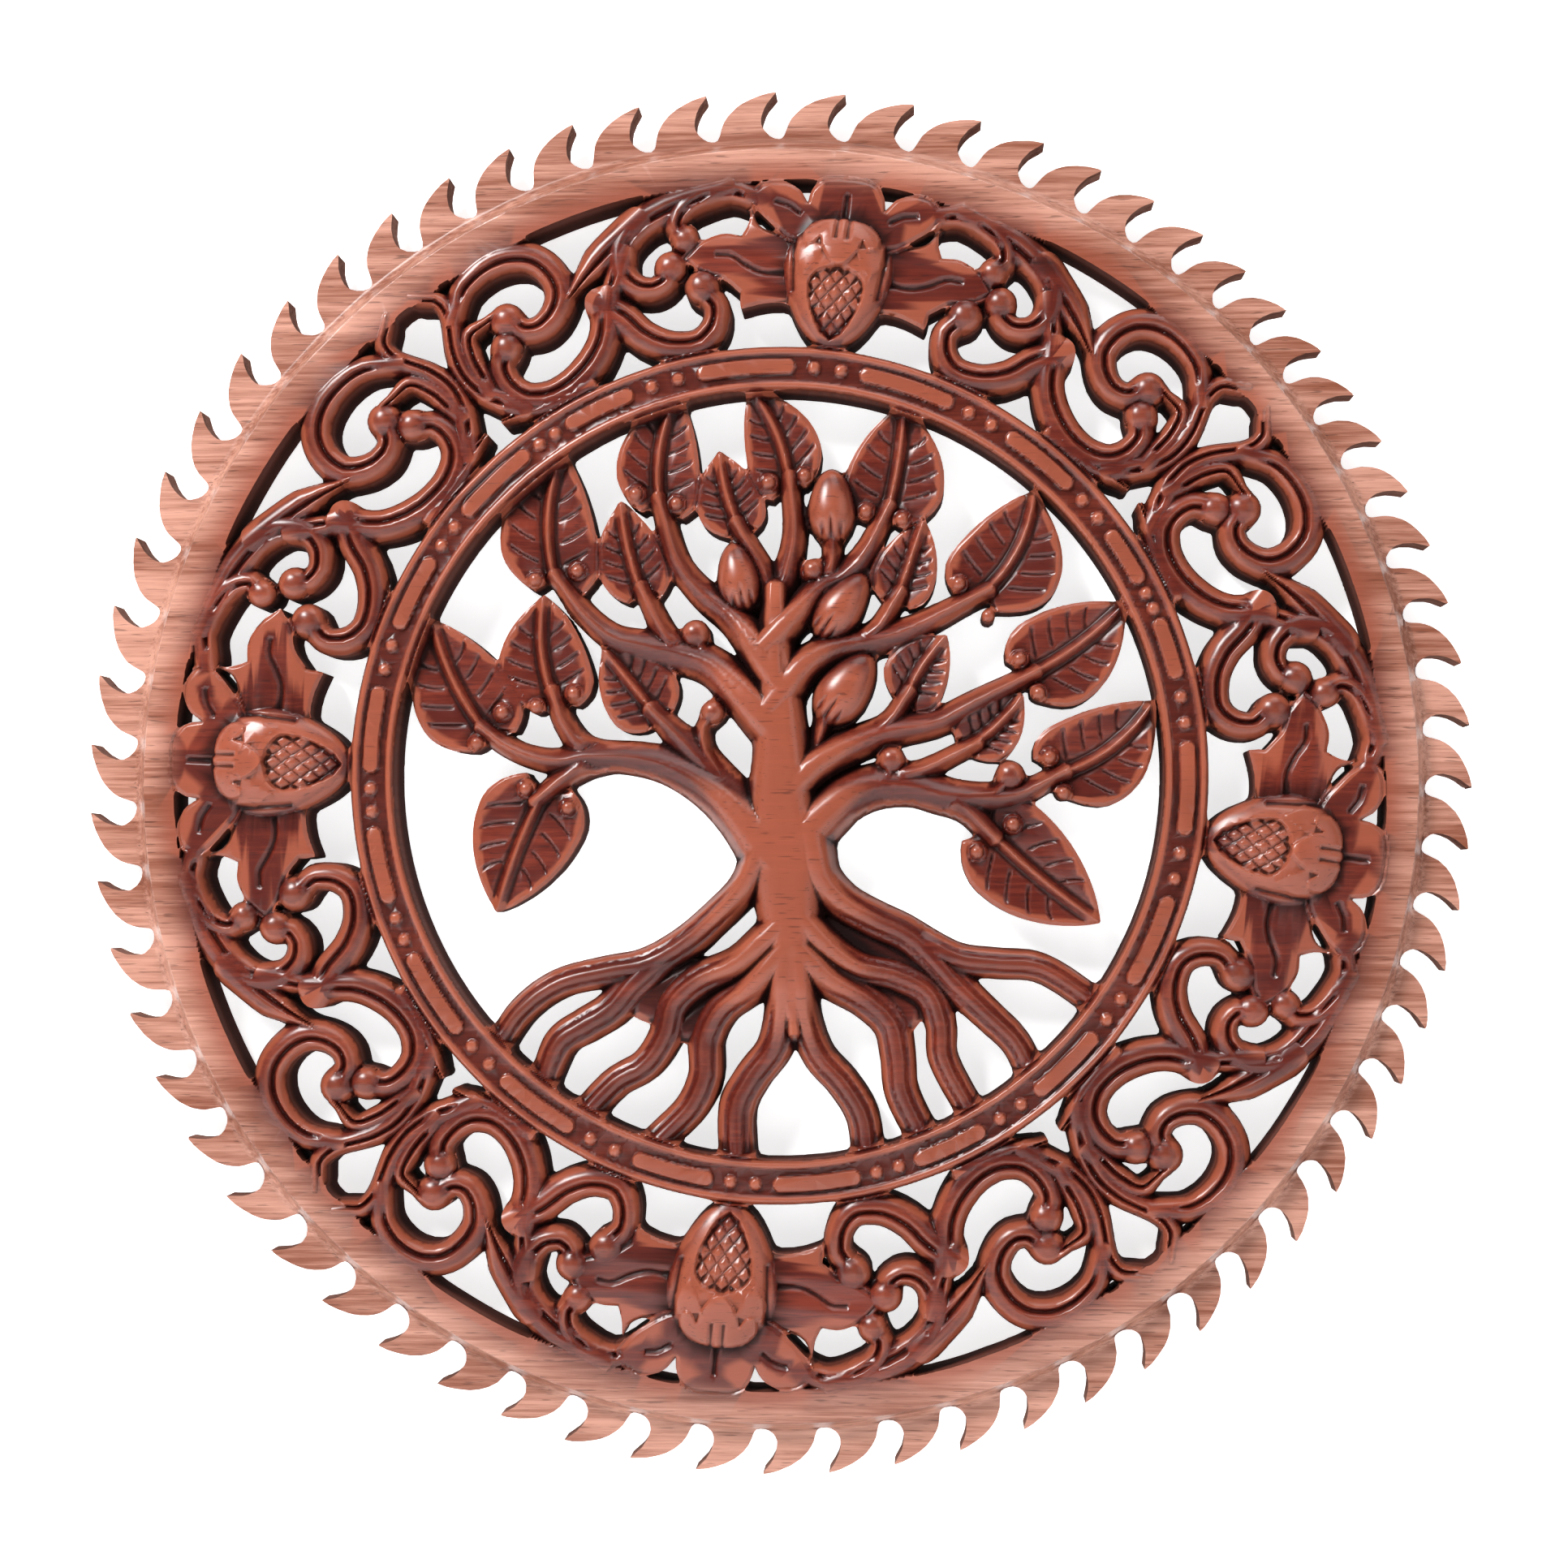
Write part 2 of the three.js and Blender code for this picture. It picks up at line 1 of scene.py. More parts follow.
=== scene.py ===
import math
import bpy
import numpy as np
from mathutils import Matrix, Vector


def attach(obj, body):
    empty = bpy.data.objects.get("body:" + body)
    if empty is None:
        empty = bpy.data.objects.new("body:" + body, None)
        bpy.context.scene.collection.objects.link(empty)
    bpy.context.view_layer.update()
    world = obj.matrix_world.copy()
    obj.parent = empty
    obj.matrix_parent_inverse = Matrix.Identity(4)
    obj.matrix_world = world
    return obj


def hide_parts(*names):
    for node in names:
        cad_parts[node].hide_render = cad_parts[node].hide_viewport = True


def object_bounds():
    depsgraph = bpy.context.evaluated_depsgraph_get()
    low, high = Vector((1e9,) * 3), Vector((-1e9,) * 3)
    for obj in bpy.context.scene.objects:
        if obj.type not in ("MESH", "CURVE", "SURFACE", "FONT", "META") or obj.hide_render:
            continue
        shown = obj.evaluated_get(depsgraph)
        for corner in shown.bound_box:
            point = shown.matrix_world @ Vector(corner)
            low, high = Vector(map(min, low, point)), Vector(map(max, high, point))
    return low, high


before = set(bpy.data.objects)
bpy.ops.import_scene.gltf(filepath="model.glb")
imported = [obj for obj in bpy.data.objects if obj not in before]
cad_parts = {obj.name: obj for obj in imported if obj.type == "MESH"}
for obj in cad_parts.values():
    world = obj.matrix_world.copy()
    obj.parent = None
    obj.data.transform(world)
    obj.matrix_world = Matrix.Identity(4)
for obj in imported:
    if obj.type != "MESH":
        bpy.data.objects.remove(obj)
cadLow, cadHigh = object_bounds()
mm = 0.001
print("frame loaded:", sorted(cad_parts))


tiny = 1e-9
curveSteps = 16           # points worked out between two given ones
outlineSpacing = 0.9      # spacing of the points on a drawn outline
ballFall = 0.85           # share of a ball's roundness that its carved dome keeps

# The carved front is worked out in millimetres on a fine sheet: x right, z up, height out from the back.
sheet = {
    "reach": 206.0,         # half the side of the sheet
    "step": 0.45,           # spacing of its points
    "cornerRound": 0.8,     # how far saw cuts round off the inner corners
    "wallSlope": 2.6,       # how steeply a shape falls away outside its own outline
    "lip": 0.7,             # how far past its outline a shape keeps its own height
    "floor": 6.0,           # lowest web left between neighbouring shapes
    "margin": 5.0,          # how far past its outline a shape is worked out
    "blendRange": (-14, 9), # keeps the sum of all the outlines finite
}


class Relief:
    def __init__(self):
        count = int(2 * sheet["reach"] / sheet["step"]) + 1
        self.axis = np.linspace(-sheet["reach"], sheet["reach"], count)
        self.wood = np.zeros((count, count))
        self.top = np.full((count, count), sheet["floor"])

    def window(self, low, high):
        first = np.searchsorted(self.axis, np.array(low) - sheet["margin"])
        last = np.searchsorted(self.axis, np.array(high) + sheet["margin"])
        cols = slice(first[0], last[0])
        rows = slice(first[1], last[1])
        x, z = np.meshgrid(self.axis[cols], self.axis[rows])
        return (rows, cols), x, z

    def addWood(self, area, inside):      # neighbouring outlines run together with a rounded corner
        self.wood[area] += np.exp(np.clip(inside / sheet["cornerRound"], *sheet["blendRange"]))

    def add(self, area, inside, height):
        self.addWood(area, inside)
        fallen = height - sheet["wallSlope"] * np.maximum(0, -inside - sheet["lip"])
        self.top[area] = np.maximum(self.top[area], fallen)

    def outline(self):
        return sheet["cornerRound"] * np.log(np.maximum(self.wood, tiny))


def onCircle(radius, clockAngle, centre=(0, 0)):
    turn = np.radians(clockAngle)
    return np.array([centre[0] + radius * np.sin(turn), centre[1] + radius * np.cos(turn)])


def bell(distance, width):
    return np.exp(-(distance / width) ** 2)


def smoothStep(value, low, high):
    share = np.clip((value - low) / (high - low), 0, 1)
    return share * share * (3 - 2 * share)


def mixAt(first, last, low, high, t):      # from the one point to the other as t runs from low to high
    return first + (last - first) * (t - low) / (high - low)


def curveThrough(points, spacing=0.7):      # even points on a smooth curve through the given ones
    given = np.array(points, float)
    ends = [2 * given[0] - given[1], 2 * given[-1] - given[-2]]
    held = np.vstack([ends[:1], given, ends[1:]])
    knots = np.concatenate([[0], np.cumsum(np.linalg.norm(np.diff(held, axis=0), axis=1) ** 0.5)])
    traced = []
    for i in range(1, len(held) - 2):
        t = np.linspace(knots[i], knots[i + 1], curveSteps, endpoint=i == len(held) - 3)[:, None]
        near = [mixAt(held[j], held[j + 1], knots[j], knots[j + 1], t) for j in (i - 1, i, i + 1)]
        wide = [mixAt(near[j], near[j + 1], knots[i - 1 + j], knots[i + 1 + j], t) for j in (0, 1)]
        traced.append(mixAt(wide[0], wide[1], knots[i], knots[i + 1], t))
    traced = np.vstack(traced)
    run = np.concatenate([[0], np.cumsum(np.linalg.norm(np.diff(traced, axis=0), axis=1))])
    even = np.linspace(0, run[-1], max(3, int(run[-1] / spacing) + 1))
    return np.stack([np.interp(even, run, traced[:, k]) for k in (0, 1)], 1)


class Stroke:      # where every sheet point near a drawn line lies: along it, across it and inside its edge
    def __init__(self, relief, points, halves):
        line = curveThrough(points)
        step = np.gradient(line, axis=0)
        step /= np.linalg.norm(step, axis=1)[:, None]
        share = np.linspace(0, 1, len(line))
        half = np.interp(share, np.linspace(0, 1, len(halves)), halves)
        widest = max(halves)
        self.area, x, z = relief.window(line.min(0) - widest, line.max(0) + widest)
        apart = (x[..., None] - line[:, 0]) ** 2 + (z[..., None] - line[:, 1]) ** 2
        nearest = apart.argmin(-1)
        dx = x - line[nearest, 0]
        dz = z - line[nearest, 1]
        ahead = dx * step[nearest, 0] + dz * step[nearest, 1]
        across = dz * step[nearest, 0] - dx * step[nearest, 1]
        spacing = np.linalg.norm(line[1] - line[0])
        past = np.maximum(0, np.abs(ahead) - spacing)
        turning = np.sum(step[:-1, 0] * step[1:, 1] - step[:-1, 1] * step[1:, 0])
        self.share = share[nearest]
        self.half = half[nearest]
        self.away = np.hypot(across, past)
        self.inside = self.half - self.away
        self.side = across / self.half * (-1 if turning > 0 else 1)      # +1 on the outside of the bend
        self.end = line[-1]
        self.heading = step[-1]


def segmentDistance(x, z, a, b):
    span = b - a
    share = np.clip(((x - a[0]) * span[0] + (z - a[1]) * span[1]) / max(span @ span, tiny), 0, 1)
    return np.hypot(x - a[0] - share * span[0], z - a[1] - share * span[1])


def polygonInside(x, z, corners):      # distance to an outline, positive inside
    away = np.full(x.shape, np.inf)
    within = np.zeros(x.shape, bool)
    for a, b in zip(corners, np.roll(corners, -1, axis=0)):
        away = np.minimum(away, segmentDistance(x, z, a, b))
        rise = b[1] - a[1] if abs(b[1] - a[1]) > tiny else tiny
        crosses = (a[1] > z) != (b[1] > z)
        within ^= crosses & (x < a[0] + (z - a[1]) / rise * (b[0] - a[0]))
    return np.where(within, away, -away)


def cornered(runs):      # an outline of smooth runs that meet at sharp corners
    return np.vstack([curveThrough(run, outlineSpacing)[:-1] for run in runs])


def addBall(relief, centre, radius, height):
    centre = np.array(centre)
    area, x, z = relief.window(centre - radius, centre + radius)
    away = np.hypot(x - centre[0], z - centre[1])
    drop = radius - np.sqrt(np.maximum(0, radius ** 2 - away ** 2))
    relief.add(area, radius - away, height - ballFall * drop)


edge = {
    "teeth": 66,
    "offset": -0.1,
    "centre": (-0.8, 1.6),
    "height": 9.5,
    "widestPitch": 1.2,       # no tooth is longer than this share of an even pitch
    # one tooth: radius, and how far behind the tip as a share of the pitch
    "tip": (202.5, 0),
    "foot": [(180, 1), (180, -0.3)],
    "hollow": [(186.5, -0.18), (187.6, -0.1), (189.3, 0.1), (193, 0.23), (198, 0.17)],
    "back": [(201.7, 0.2), (198.7, 0.55), (194.5, 0.77), (188.6, 0.89), (186, 0.97)],
    # uneven spacing: turns round the panel, size and phase in degrees
    "swings": [(1, 5.5, 96), (2, 0.9, 57), (3, 0.45, 31), (4, 0.25, -14), (5, 0.4, -34)],
}


def toothTips():
    places = np.arange(edge["teeth"]) * 360 / edge["teeth"]
    swing = sum(size * np.sin(np.radians(turns * places + phase)) for turns, size, phase in edge["swings"])
    return places - edge["offset"] + swing


def carveTeeth(relief):
    longest = edge["widestPitch"] * 360 / edge["teeth"]
    start, end = edge["foot"]
    runs = [[start, end], [end, *edge["hollow"], edge["tip"]], [edge["tip"], *edge["back"], start]]
    tips = toothTips()
    for i, tip in enumerate(tips):
        pitch = min(tip - tips[i - 1] + (360 if i == 0 else 0), longest)
        corners = cornered([
            [onCircle(radius, tip - pitch * share, edge["centre"]) for radius, share in run] for run in runs
        ])
        area, x, z = relief.window(corners.min(0), corners.max(0))
        relief.add(area, polygonInside(x, z, corners), np.full(x.shape, edge["height"]))


rim = {
    "inner": 176.5,
    "outer": 185.3,
    "woodEnd": 187.0,         # past this only the teeth hold the outline
    "coveEnd": 190.5,
    "covePower": 2.2,
    "height": 15.6,
    "overlap": 1.0,
    "reach": 200.0,
}


def carveRim(relief):
    area, x, z = relief.window([-rim["reach"]] * 2, [rim["reach"]] * 2)
    radius = np.hypot(x, z)
    relief.addWood(area, np.minimum(radius - rim["inner"], rim["woodEnd"] - radius))
    cove = 1 - np.clip((radius - rim["outer"]) / (rim["coveEnd"] - rim["outer"]), 0, 1)
    height = edge["height"] + (rim["height"] - edge["height"]) * cove ** rim["covePower"]
    height = np.where(radius > rim["inner"] - rim["overlap"], height, 0)
    relief.top[area] = np.maximum(relief.top[area], height)


ring = {
    "centre": (0.9, 2.0),
    "inner": 112.0,
    "outer": 124.6,
    "middle": 118.7,
    "railWidth": 2.9,
    "railPeak": 0.4,          # where across a rail its crest lies
    "railPower": 0.6,
    "railHeight": 17.4,
    "edgeDrop": 1.2,
    "edgeHalf": 0.5,
    "channelHeight": 16.5,
    "barHalfWidth": 2.6,
    "barHeight": 17.7,
    "barFlat": (0.72, 1.05),  # from the middle out: where the flat ends and where the side ends
    "endTurn": 1.0,           # degrees that a bar's round end takes up
    "beadRadius": 2.3,
    "beadHeight": 18.0,
    "beadFlat": (0.45, 1.05),
    "sideDrop": 1.7,
    "beadShares": (0.31, 0.69),
    "bars": [      # where each bar starts and ends, in degrees clockwise from the top
        (12.3, 25.3), (34.8, 45.7), (54.5, 62.3), (68.6, 76.6), (86.2, 98.5), (108, 120.5),
        (129.7, 140.7), (150, 160), (168.5, 180), (189.2, 200), (210, 221.7), (231, 243.3),
        (251.8, 262), (270.5, 282), (291.3, 301.7), (310, 322), (329.2, 339), (349.2, 362.3),
    ],
}


def carveRing(relief):
    centre = np.array(ring["centre"])
    area, x, z = relief.window(centre - ring["outer"], centre + ring["outer"])
    radius = np.hypot(x - centre[0], z - centre[1])
    inside = np.minimum(radius - ring["inner"], ring["outer"] - radius)
    across = np.clip(inside / ring["railWidth"], -ring["railPeak"], 1)
    rail = np.clip(1 - 4 * (across - ring["railPeak"]) ** 2, 0, 1) ** ring["railPower"]
    height = ring["channelHeight"] + (ring["railHeight"] - ring["channelHeight"]) * rail
    height = np.where(across >= 1, ring["channelHeight"], height)
    relief.add(area, inside, height - ring["edgeDrop"] * bell(inside, ring["edgeHalf"]))
    bars = ring["bars"]
    for i, (start, end) in enumerate(bars):
        turns = np.linspace(start + ring["endTurn"], end - ring["endTurn"], 4)
        middle = [onCircle(ring["middle"], turn, centre) for turn in turns]
        bar = Stroke(relief, middle, [ring["barHalfWidth"]] * 2)
        flat = ring["barHeight"] - ring["sideDrop"] * smoothStep(bar.away / bar.half, *ring["barFlat"])
        relief.add(bar.area, bar.inside, flat)
        following = bars[i + 1][0] if i + 1 < len(bars) else bars[0][0] + 360
        for share in ring["beadShares"]:
            spot = onCircle(ring["middle"], end + (following - end) * share, centre)
            area, x, z = relief.window(spot - ring["beadRadius"], spot + ring["beadRadius"])
            away = np.hypot(x - spot[0], z - spot[1])
            drop = ring["sideDrop"] * smoothStep(away / ring["beadRadius"], *ring["beadFlat"])
            relief.add(area, ring["beadRadius"] - away, ring["beadHeight"] - drop)


band = {      # scroll work between the ring and the rim, drawn as half of one repeat and mirrored
    "flowerAngles": (7.3, 97.9, 185.7, 272.1),
    "scrollAngles": (51.9, 141.7, 226.9, 321.7),
    "repeat": 45.0,
    "inner": 125.5,
    "outer": 176.5,
    "edgeHeight": 12.6,
    "crestHeight": 16.4,
    "knobHeight": 17.2,
    "knobReach": 0.55,        # how far past the stroke's end a knob sits, as a share of its radius
    "bodyFall": 0.9,
    "bodyPower": 2.6,
    "groove": 0.5,
    "groovePlace": -0.22,
    "grooveHalf": 0.17,
    "grooveStart": 0.12,
    "sideLimit": 1.3,
    "flowerStrokes": [      # x along the band, y out from the centre, flower axis upright
        {"line": [(28, 169.5), (34, 170.5), (41, 168.3), (47, 163.5), (48.5, 158.5), (46.8, 156.2)],
         "half": (4, 4.2, 3.4), "knob": 4.2},
        {"line": [(38, 170), (46, 166.5), (54, 162), (61, 155.5), (63.5, 148.5), (62, 142.5), (58, 139),
                  (53, 138.5), (49.3, 141), (48.8, 143)],
         "half": (4.2, 5.4, 5, 4.2, 3.6), "knob": 4.8},
        {"line": [(66, 132), (60, 129), (53, 124.2), (45, 122.2), (37, 124), (33.5, 129), (33.5, 135),
                  (36.5, 138.5)],
         "half": (5, 5, 4.6, 3.8), "knob": 5.2},
        {"line": [(62, 156), (69, 147.5), (73, 141), (76.5, 134)], "half": (5.1, 4.7, 1.4)},
    ],
    "scrollStrokes": [      # the same, scroll axis upright
        {"line": [(8.5, 133.5), (4.5, 141.5), (3, 149), (4.5, 156.5), (10, 168), (9.6, 173), (6.5, 176)],
         "half": (4.2, 3.7, 2.8)},
        {"line": [(5.5, 144), (7, 152.5), (10.5, 158.5), (17.5, 158.5)], "half": (3.7, 3.5, 1.9)},
        {"line": [(12, 167), (18, 171), (26, 172), (33.5, 170), (39, 165), (40.8, 158), (39, 151.5),
                  (34, 147.8), (28.5, 147), (24.5, 149), (23, 152.5)],
         "half": (3.6, 4.8, 4.9, 3.9), "knob": 5.2},
        {"line": [(47, 139.5), (40.5, 132.5), (33.5, 129), (25.5, 127.8), (18, 129.2), (12.8, 133.2),
                  (11, 139), (12.2, 144.5), (15, 147)],
         "half": (4.6, 5.2, 5, 3.9), "knob": 4.8},
        {"line": [(26, 125), (15, 128), (4.5, 131.3)], "half": (3.5, 4, 1.4)},
        {"line": [(58, 147), (52, 143), (46.5, 140)], "half": (4.2, 3.5, 1.6)},
    ],
}


def bandPoint(point, flowerAngle, scrollAngle, fromScroll):      # turned to its place between ring and rim
    x, y = point
    share = np.degrees(np.arctan2(x, y)) / band["repeat"]
    clockAngle = flowerAngle + (scrollAngle - flowerAngle) * (1 - share if fromScroll else share)
    toward = onCircle(1, clockAngle)
    nearEnd = ring["outer"] + toward @ np.array(ring["centre"])
    outward = (np.hypot(x, y) - band["inner"]) / (band["outer"] - band["inner"])
    return onCircle(nearEnd + (rim["inner"] - nearEnd) * outward, clockAngle)


def scrollHeight(stroke):      # a full outer roll, a groove and a thinner inner roll
    side = np.clip(stroke.side, -band["sideLimit"], band["sideLimit"])
    rise = 1 - band["bodyFall"] * np.abs(side) ** band["bodyPower"]
    fade = smoothStep(stroke.share, 0, band["grooveStart"])
    rise -= band["groove"] * fade * bell(side - band["groovePlace"], band["grooveHalf"])
    return band["edgeHeight"] + (band["crestHeight"] - band["edgeHeight"]) * rise


def carveScroll(relief, drawn, flowerAngle, scrollAngle, fromScroll):
    line = [bandPoint(point, flowerAngle, scrollAngle, fromScroll) for point in drawn["line"]]
    stroke = Stroke(relief, line, drawn["half"])
    relief.add(stroke.area, stroke.inside, scrollHeight(stroke))
    if "knob" in drawn:
        centre = stroke.end + stroke.heading * band["knobReach"] * drawn["knob"]
        addBall(relief, centre, drawn["knob"], band["knobHeight"])


def carveScrolls(relief):
    for i, flowerAngle in enumerate(band["flowerAngles"]):
        before = band["scrollAngles"][i - 1] - (360 if i == 0 else 0)
        for scrollAngle in (before, band["scrollAngles"][i]):
            for drawn in band["flowerStrokes"]:
                carveScroll(relief, drawn, flowerAngle, scrollAngle, False)
            for drawn in band["scrollStrokes"]:
                carveScroll(relief, drawn, flowerAngle, scrollAngle, True)


flower = {      # drawn with its axis upright, x to the side and y out from the centre
    "middle": 150.0,
    "reach": 50.0,
    "edgeDrop": 0.8,          # how far the leaves' edges are eased
    "edgeHalf": 0.6,
    "cutDepth": 1.1,
    "cutHalf": 0.8,
    "cutSpacing": 1.5,        # spacing of the points on an incised stroke
    "crownHeight": 16.4,
    "crownOutline": [
        [(0, 177.2), (5, 177), (8.8, 175.4), (10.8, 172.4), (11.4, 169)],
        [(11.4, 169), (14.4, 172.6), (19.4, 174.2), (25.4, 172.6), (28, 168.5)],
        [(28, 168.5), (24.5, 164), (20, 160.5), (16, 158)],
        [(16, 158), (0, 152)],
    ],
    "crownCuts": [[(0, 166), (0, 172)], [(13.5, 165.6), (17, 167.6), (20.5, 168.2)]],
    "sideHeight": 14.8,
    "sideOutline": [
        [(10, 156), (17, 158.6), (22.5, 159.6), (25.4, 161.3), (27.5, 164.6)],
        [(27.5, 164.6), (28.2, 160.5), (29.6, 157)],
        [(29.6, 157), (35, 157), (41, 153.6), (45.5, 148)],
        [(45.5, 148), (40, 145), (33.5, 143.4), (27.8, 139.6)],
        [(27.8, 139.6), (27.6, 137.4), (27, 135)],
        [(27, 135), (20, 137.6), (10, 139)],
        [(10, 139), (10, 156)],
    ],
    "sideCuts": [[(16, 147), (22, 146.6), (27, 148.2), (32, 150.6), (36, 150.4)]],
    "swells": [(152.5, 0.8), (144.5, 0.6)],      # where across the side leaf it rises, and how far
    "swellHalf": 4.0,
    "budFoot": 125.6,
    "budWide": 150.0,
    "budTop": 166.0,
    "budHalf": 16.4,
    "budPoint": 1.5,          # below 2 the foot runs to a point
    "budEdge": 14.0,
    "budHeight": 21.0,
    "budCuts": [[(12.4, 142), (13.2, 150), (13.8, 157)], [(1.7, 158.5), (1.7, 165.5)]],
    "seeds": [(0, 150), (4.8, 148.8), (8, 145.6), (8.2, 141.6), (6, 135), (3, 130), (0, 128)],
    "seedEdge": (-0.3, 0.9),      # where in from the outline the step starts and ends
    "seedDepth": 1.3,
    "seedPitch": 3.3,
    "hatchSlants": (38, 142),
    "hatchDepth": 0.9,
    "hatchHalf": 0.55,
    "petals": [
        [(0, 149.3), (2.6, 151), (5.2, 154.6), (6.2, 158)],
        [(6.2, 158), (7.6, 156), (9.6, 155.2), (11.2, 157), (11.4, 160)],
        [(11.4, 160), (9, 163.6), (0, 165.2)],
    ],
    "petalEdge": (-0.2, 0.7),
    "petalRise": 1.1,
    "sepals": [(4.5, 155.5), (7, 150), (9.6, 146), (11.2, 149), (13.6, 152), (12.5, 157)],
    "sepalEdge": (-0.2, 0.5),
    "sepalRise": 0.55,
}


def mirrored(right):      # a right half drawn from the axis out and back, closed with its mirror image
    return np.vstack([right, right[::-1] * (-1, 1)])


def cutDepth(side, out, cuts):      # incised strokes, mirrored because side counts both ways
    depth = np.zeros(side.shape)
    for line in cuts:
        traced = curveThrough(line, flower["cutSpacing"])
        away = np.min([segmentDistance(side, out, a, b) for a, b in zip(traced[:-1], traced[1:])], axis=0)
        depth = np.maximum(depth, bell(away, flower["cutHalf"]))
    return flower["cutDepth"] * depth


def easedEdge(inside):
    return flower["edgeDrop"] * bell(inside, flower["edgeHalf"])


def carveFlowerLeaves(relief, area, along, out):
    side = np.abs(along)
    inside = polygonInside(along, out, mirrored(cornered(flower["crownOutline"])))
    height = flower["crownHeight"] - easedEdge(inside) - cutDepth(side, out, flower["crownCuts"])
    relief.add(area, inside, height)
    inside = polygonInside(side, out, cornered(flower["sideOutline"]))
    height = flower["sideHeight"] - easedEdge(inside) - cutDepth(side, out, flower["sideCuts"])
    for place, rise in flower["swells"]:
        height += rise * bell(out - place, flower["swellHalf"])
    relief.add(area, inside, height)


def carveFlowerBud(relief, area, along, out):
    side = np.abs(along)
    above = out > flower["budWide"]
    ends = np.where(above, flower["budTop"], flower["budFoot"])
    lengthwise = (out - flower["budWide"]) / (ends - flower["budWide"])
    far = np.sqrt(lengthwise ** np.where(above, 2, flower["budPoint"]) + (along / flower["budHalf"]) ** 2)
    dome = np.sqrt(np.maximum(0, 1 - far ** 2))
    height = flower["budEdge"] + (flower["budHeight"] - flower["budEdge"]) * dome
    seeds = polygonInside(along, out, mirrored(curveThrough(flower["seeds"], outlineSpacing)))
    hatch = np.zeros(out.shape)
    for slant in np.radians(flower["hatchSlants"]):
        turns = (along * np.cos(slant) + out * np.sin(slant)) / flower["seedPitch"]
        lineAway = (turns - np.round(turns)) * flower["seedPitch"]
        hatch = np.maximum(hatch, bell(lineAway, flower["hatchHalf"]))
    height -= smoothStep(seeds, *flower["seedEdge"]) * (flower["seedDepth"] + flower["hatchDepth"] * hatch)
    sepals = polygonInside(side, out, np.array(flower["sepals"]))
    height += flower["sepalRise"] * smoothStep(sepals, *flower["sepalEdge"])
    petals = polygonInside(along, out, mirrored(cornered(flower["petals"])))
    height += flower["petalRise"] * smoothStep(petals, *flower["petalEdge"])
    height -= cutDepth(side, out, flower["budCuts"])
    relief.add(area, (1 - far) * flower["budHalf"], height)


def carveFlower(relief, angle):
    toward = onCircle(1, angle)
    middle = toward * flower["middle"]
    area, x, z = relief.window(middle - flower["reach"], middle + flower["reach"])
    nearEnd = ring["outer"] + toward @ np.array(ring["centre"])
    outward = (x * toward[0] + z * toward[1] - nearEnd) / (rim["inner"] - nearEnd)
    out = band["inner"] + outward * (band["outer"] - band["inner"])
    along = x * toward[1] - z * toward[0]
    carveFlowerLeaves(relief, area, along, out)
    carveFlowerBud(relief, area, along, out)


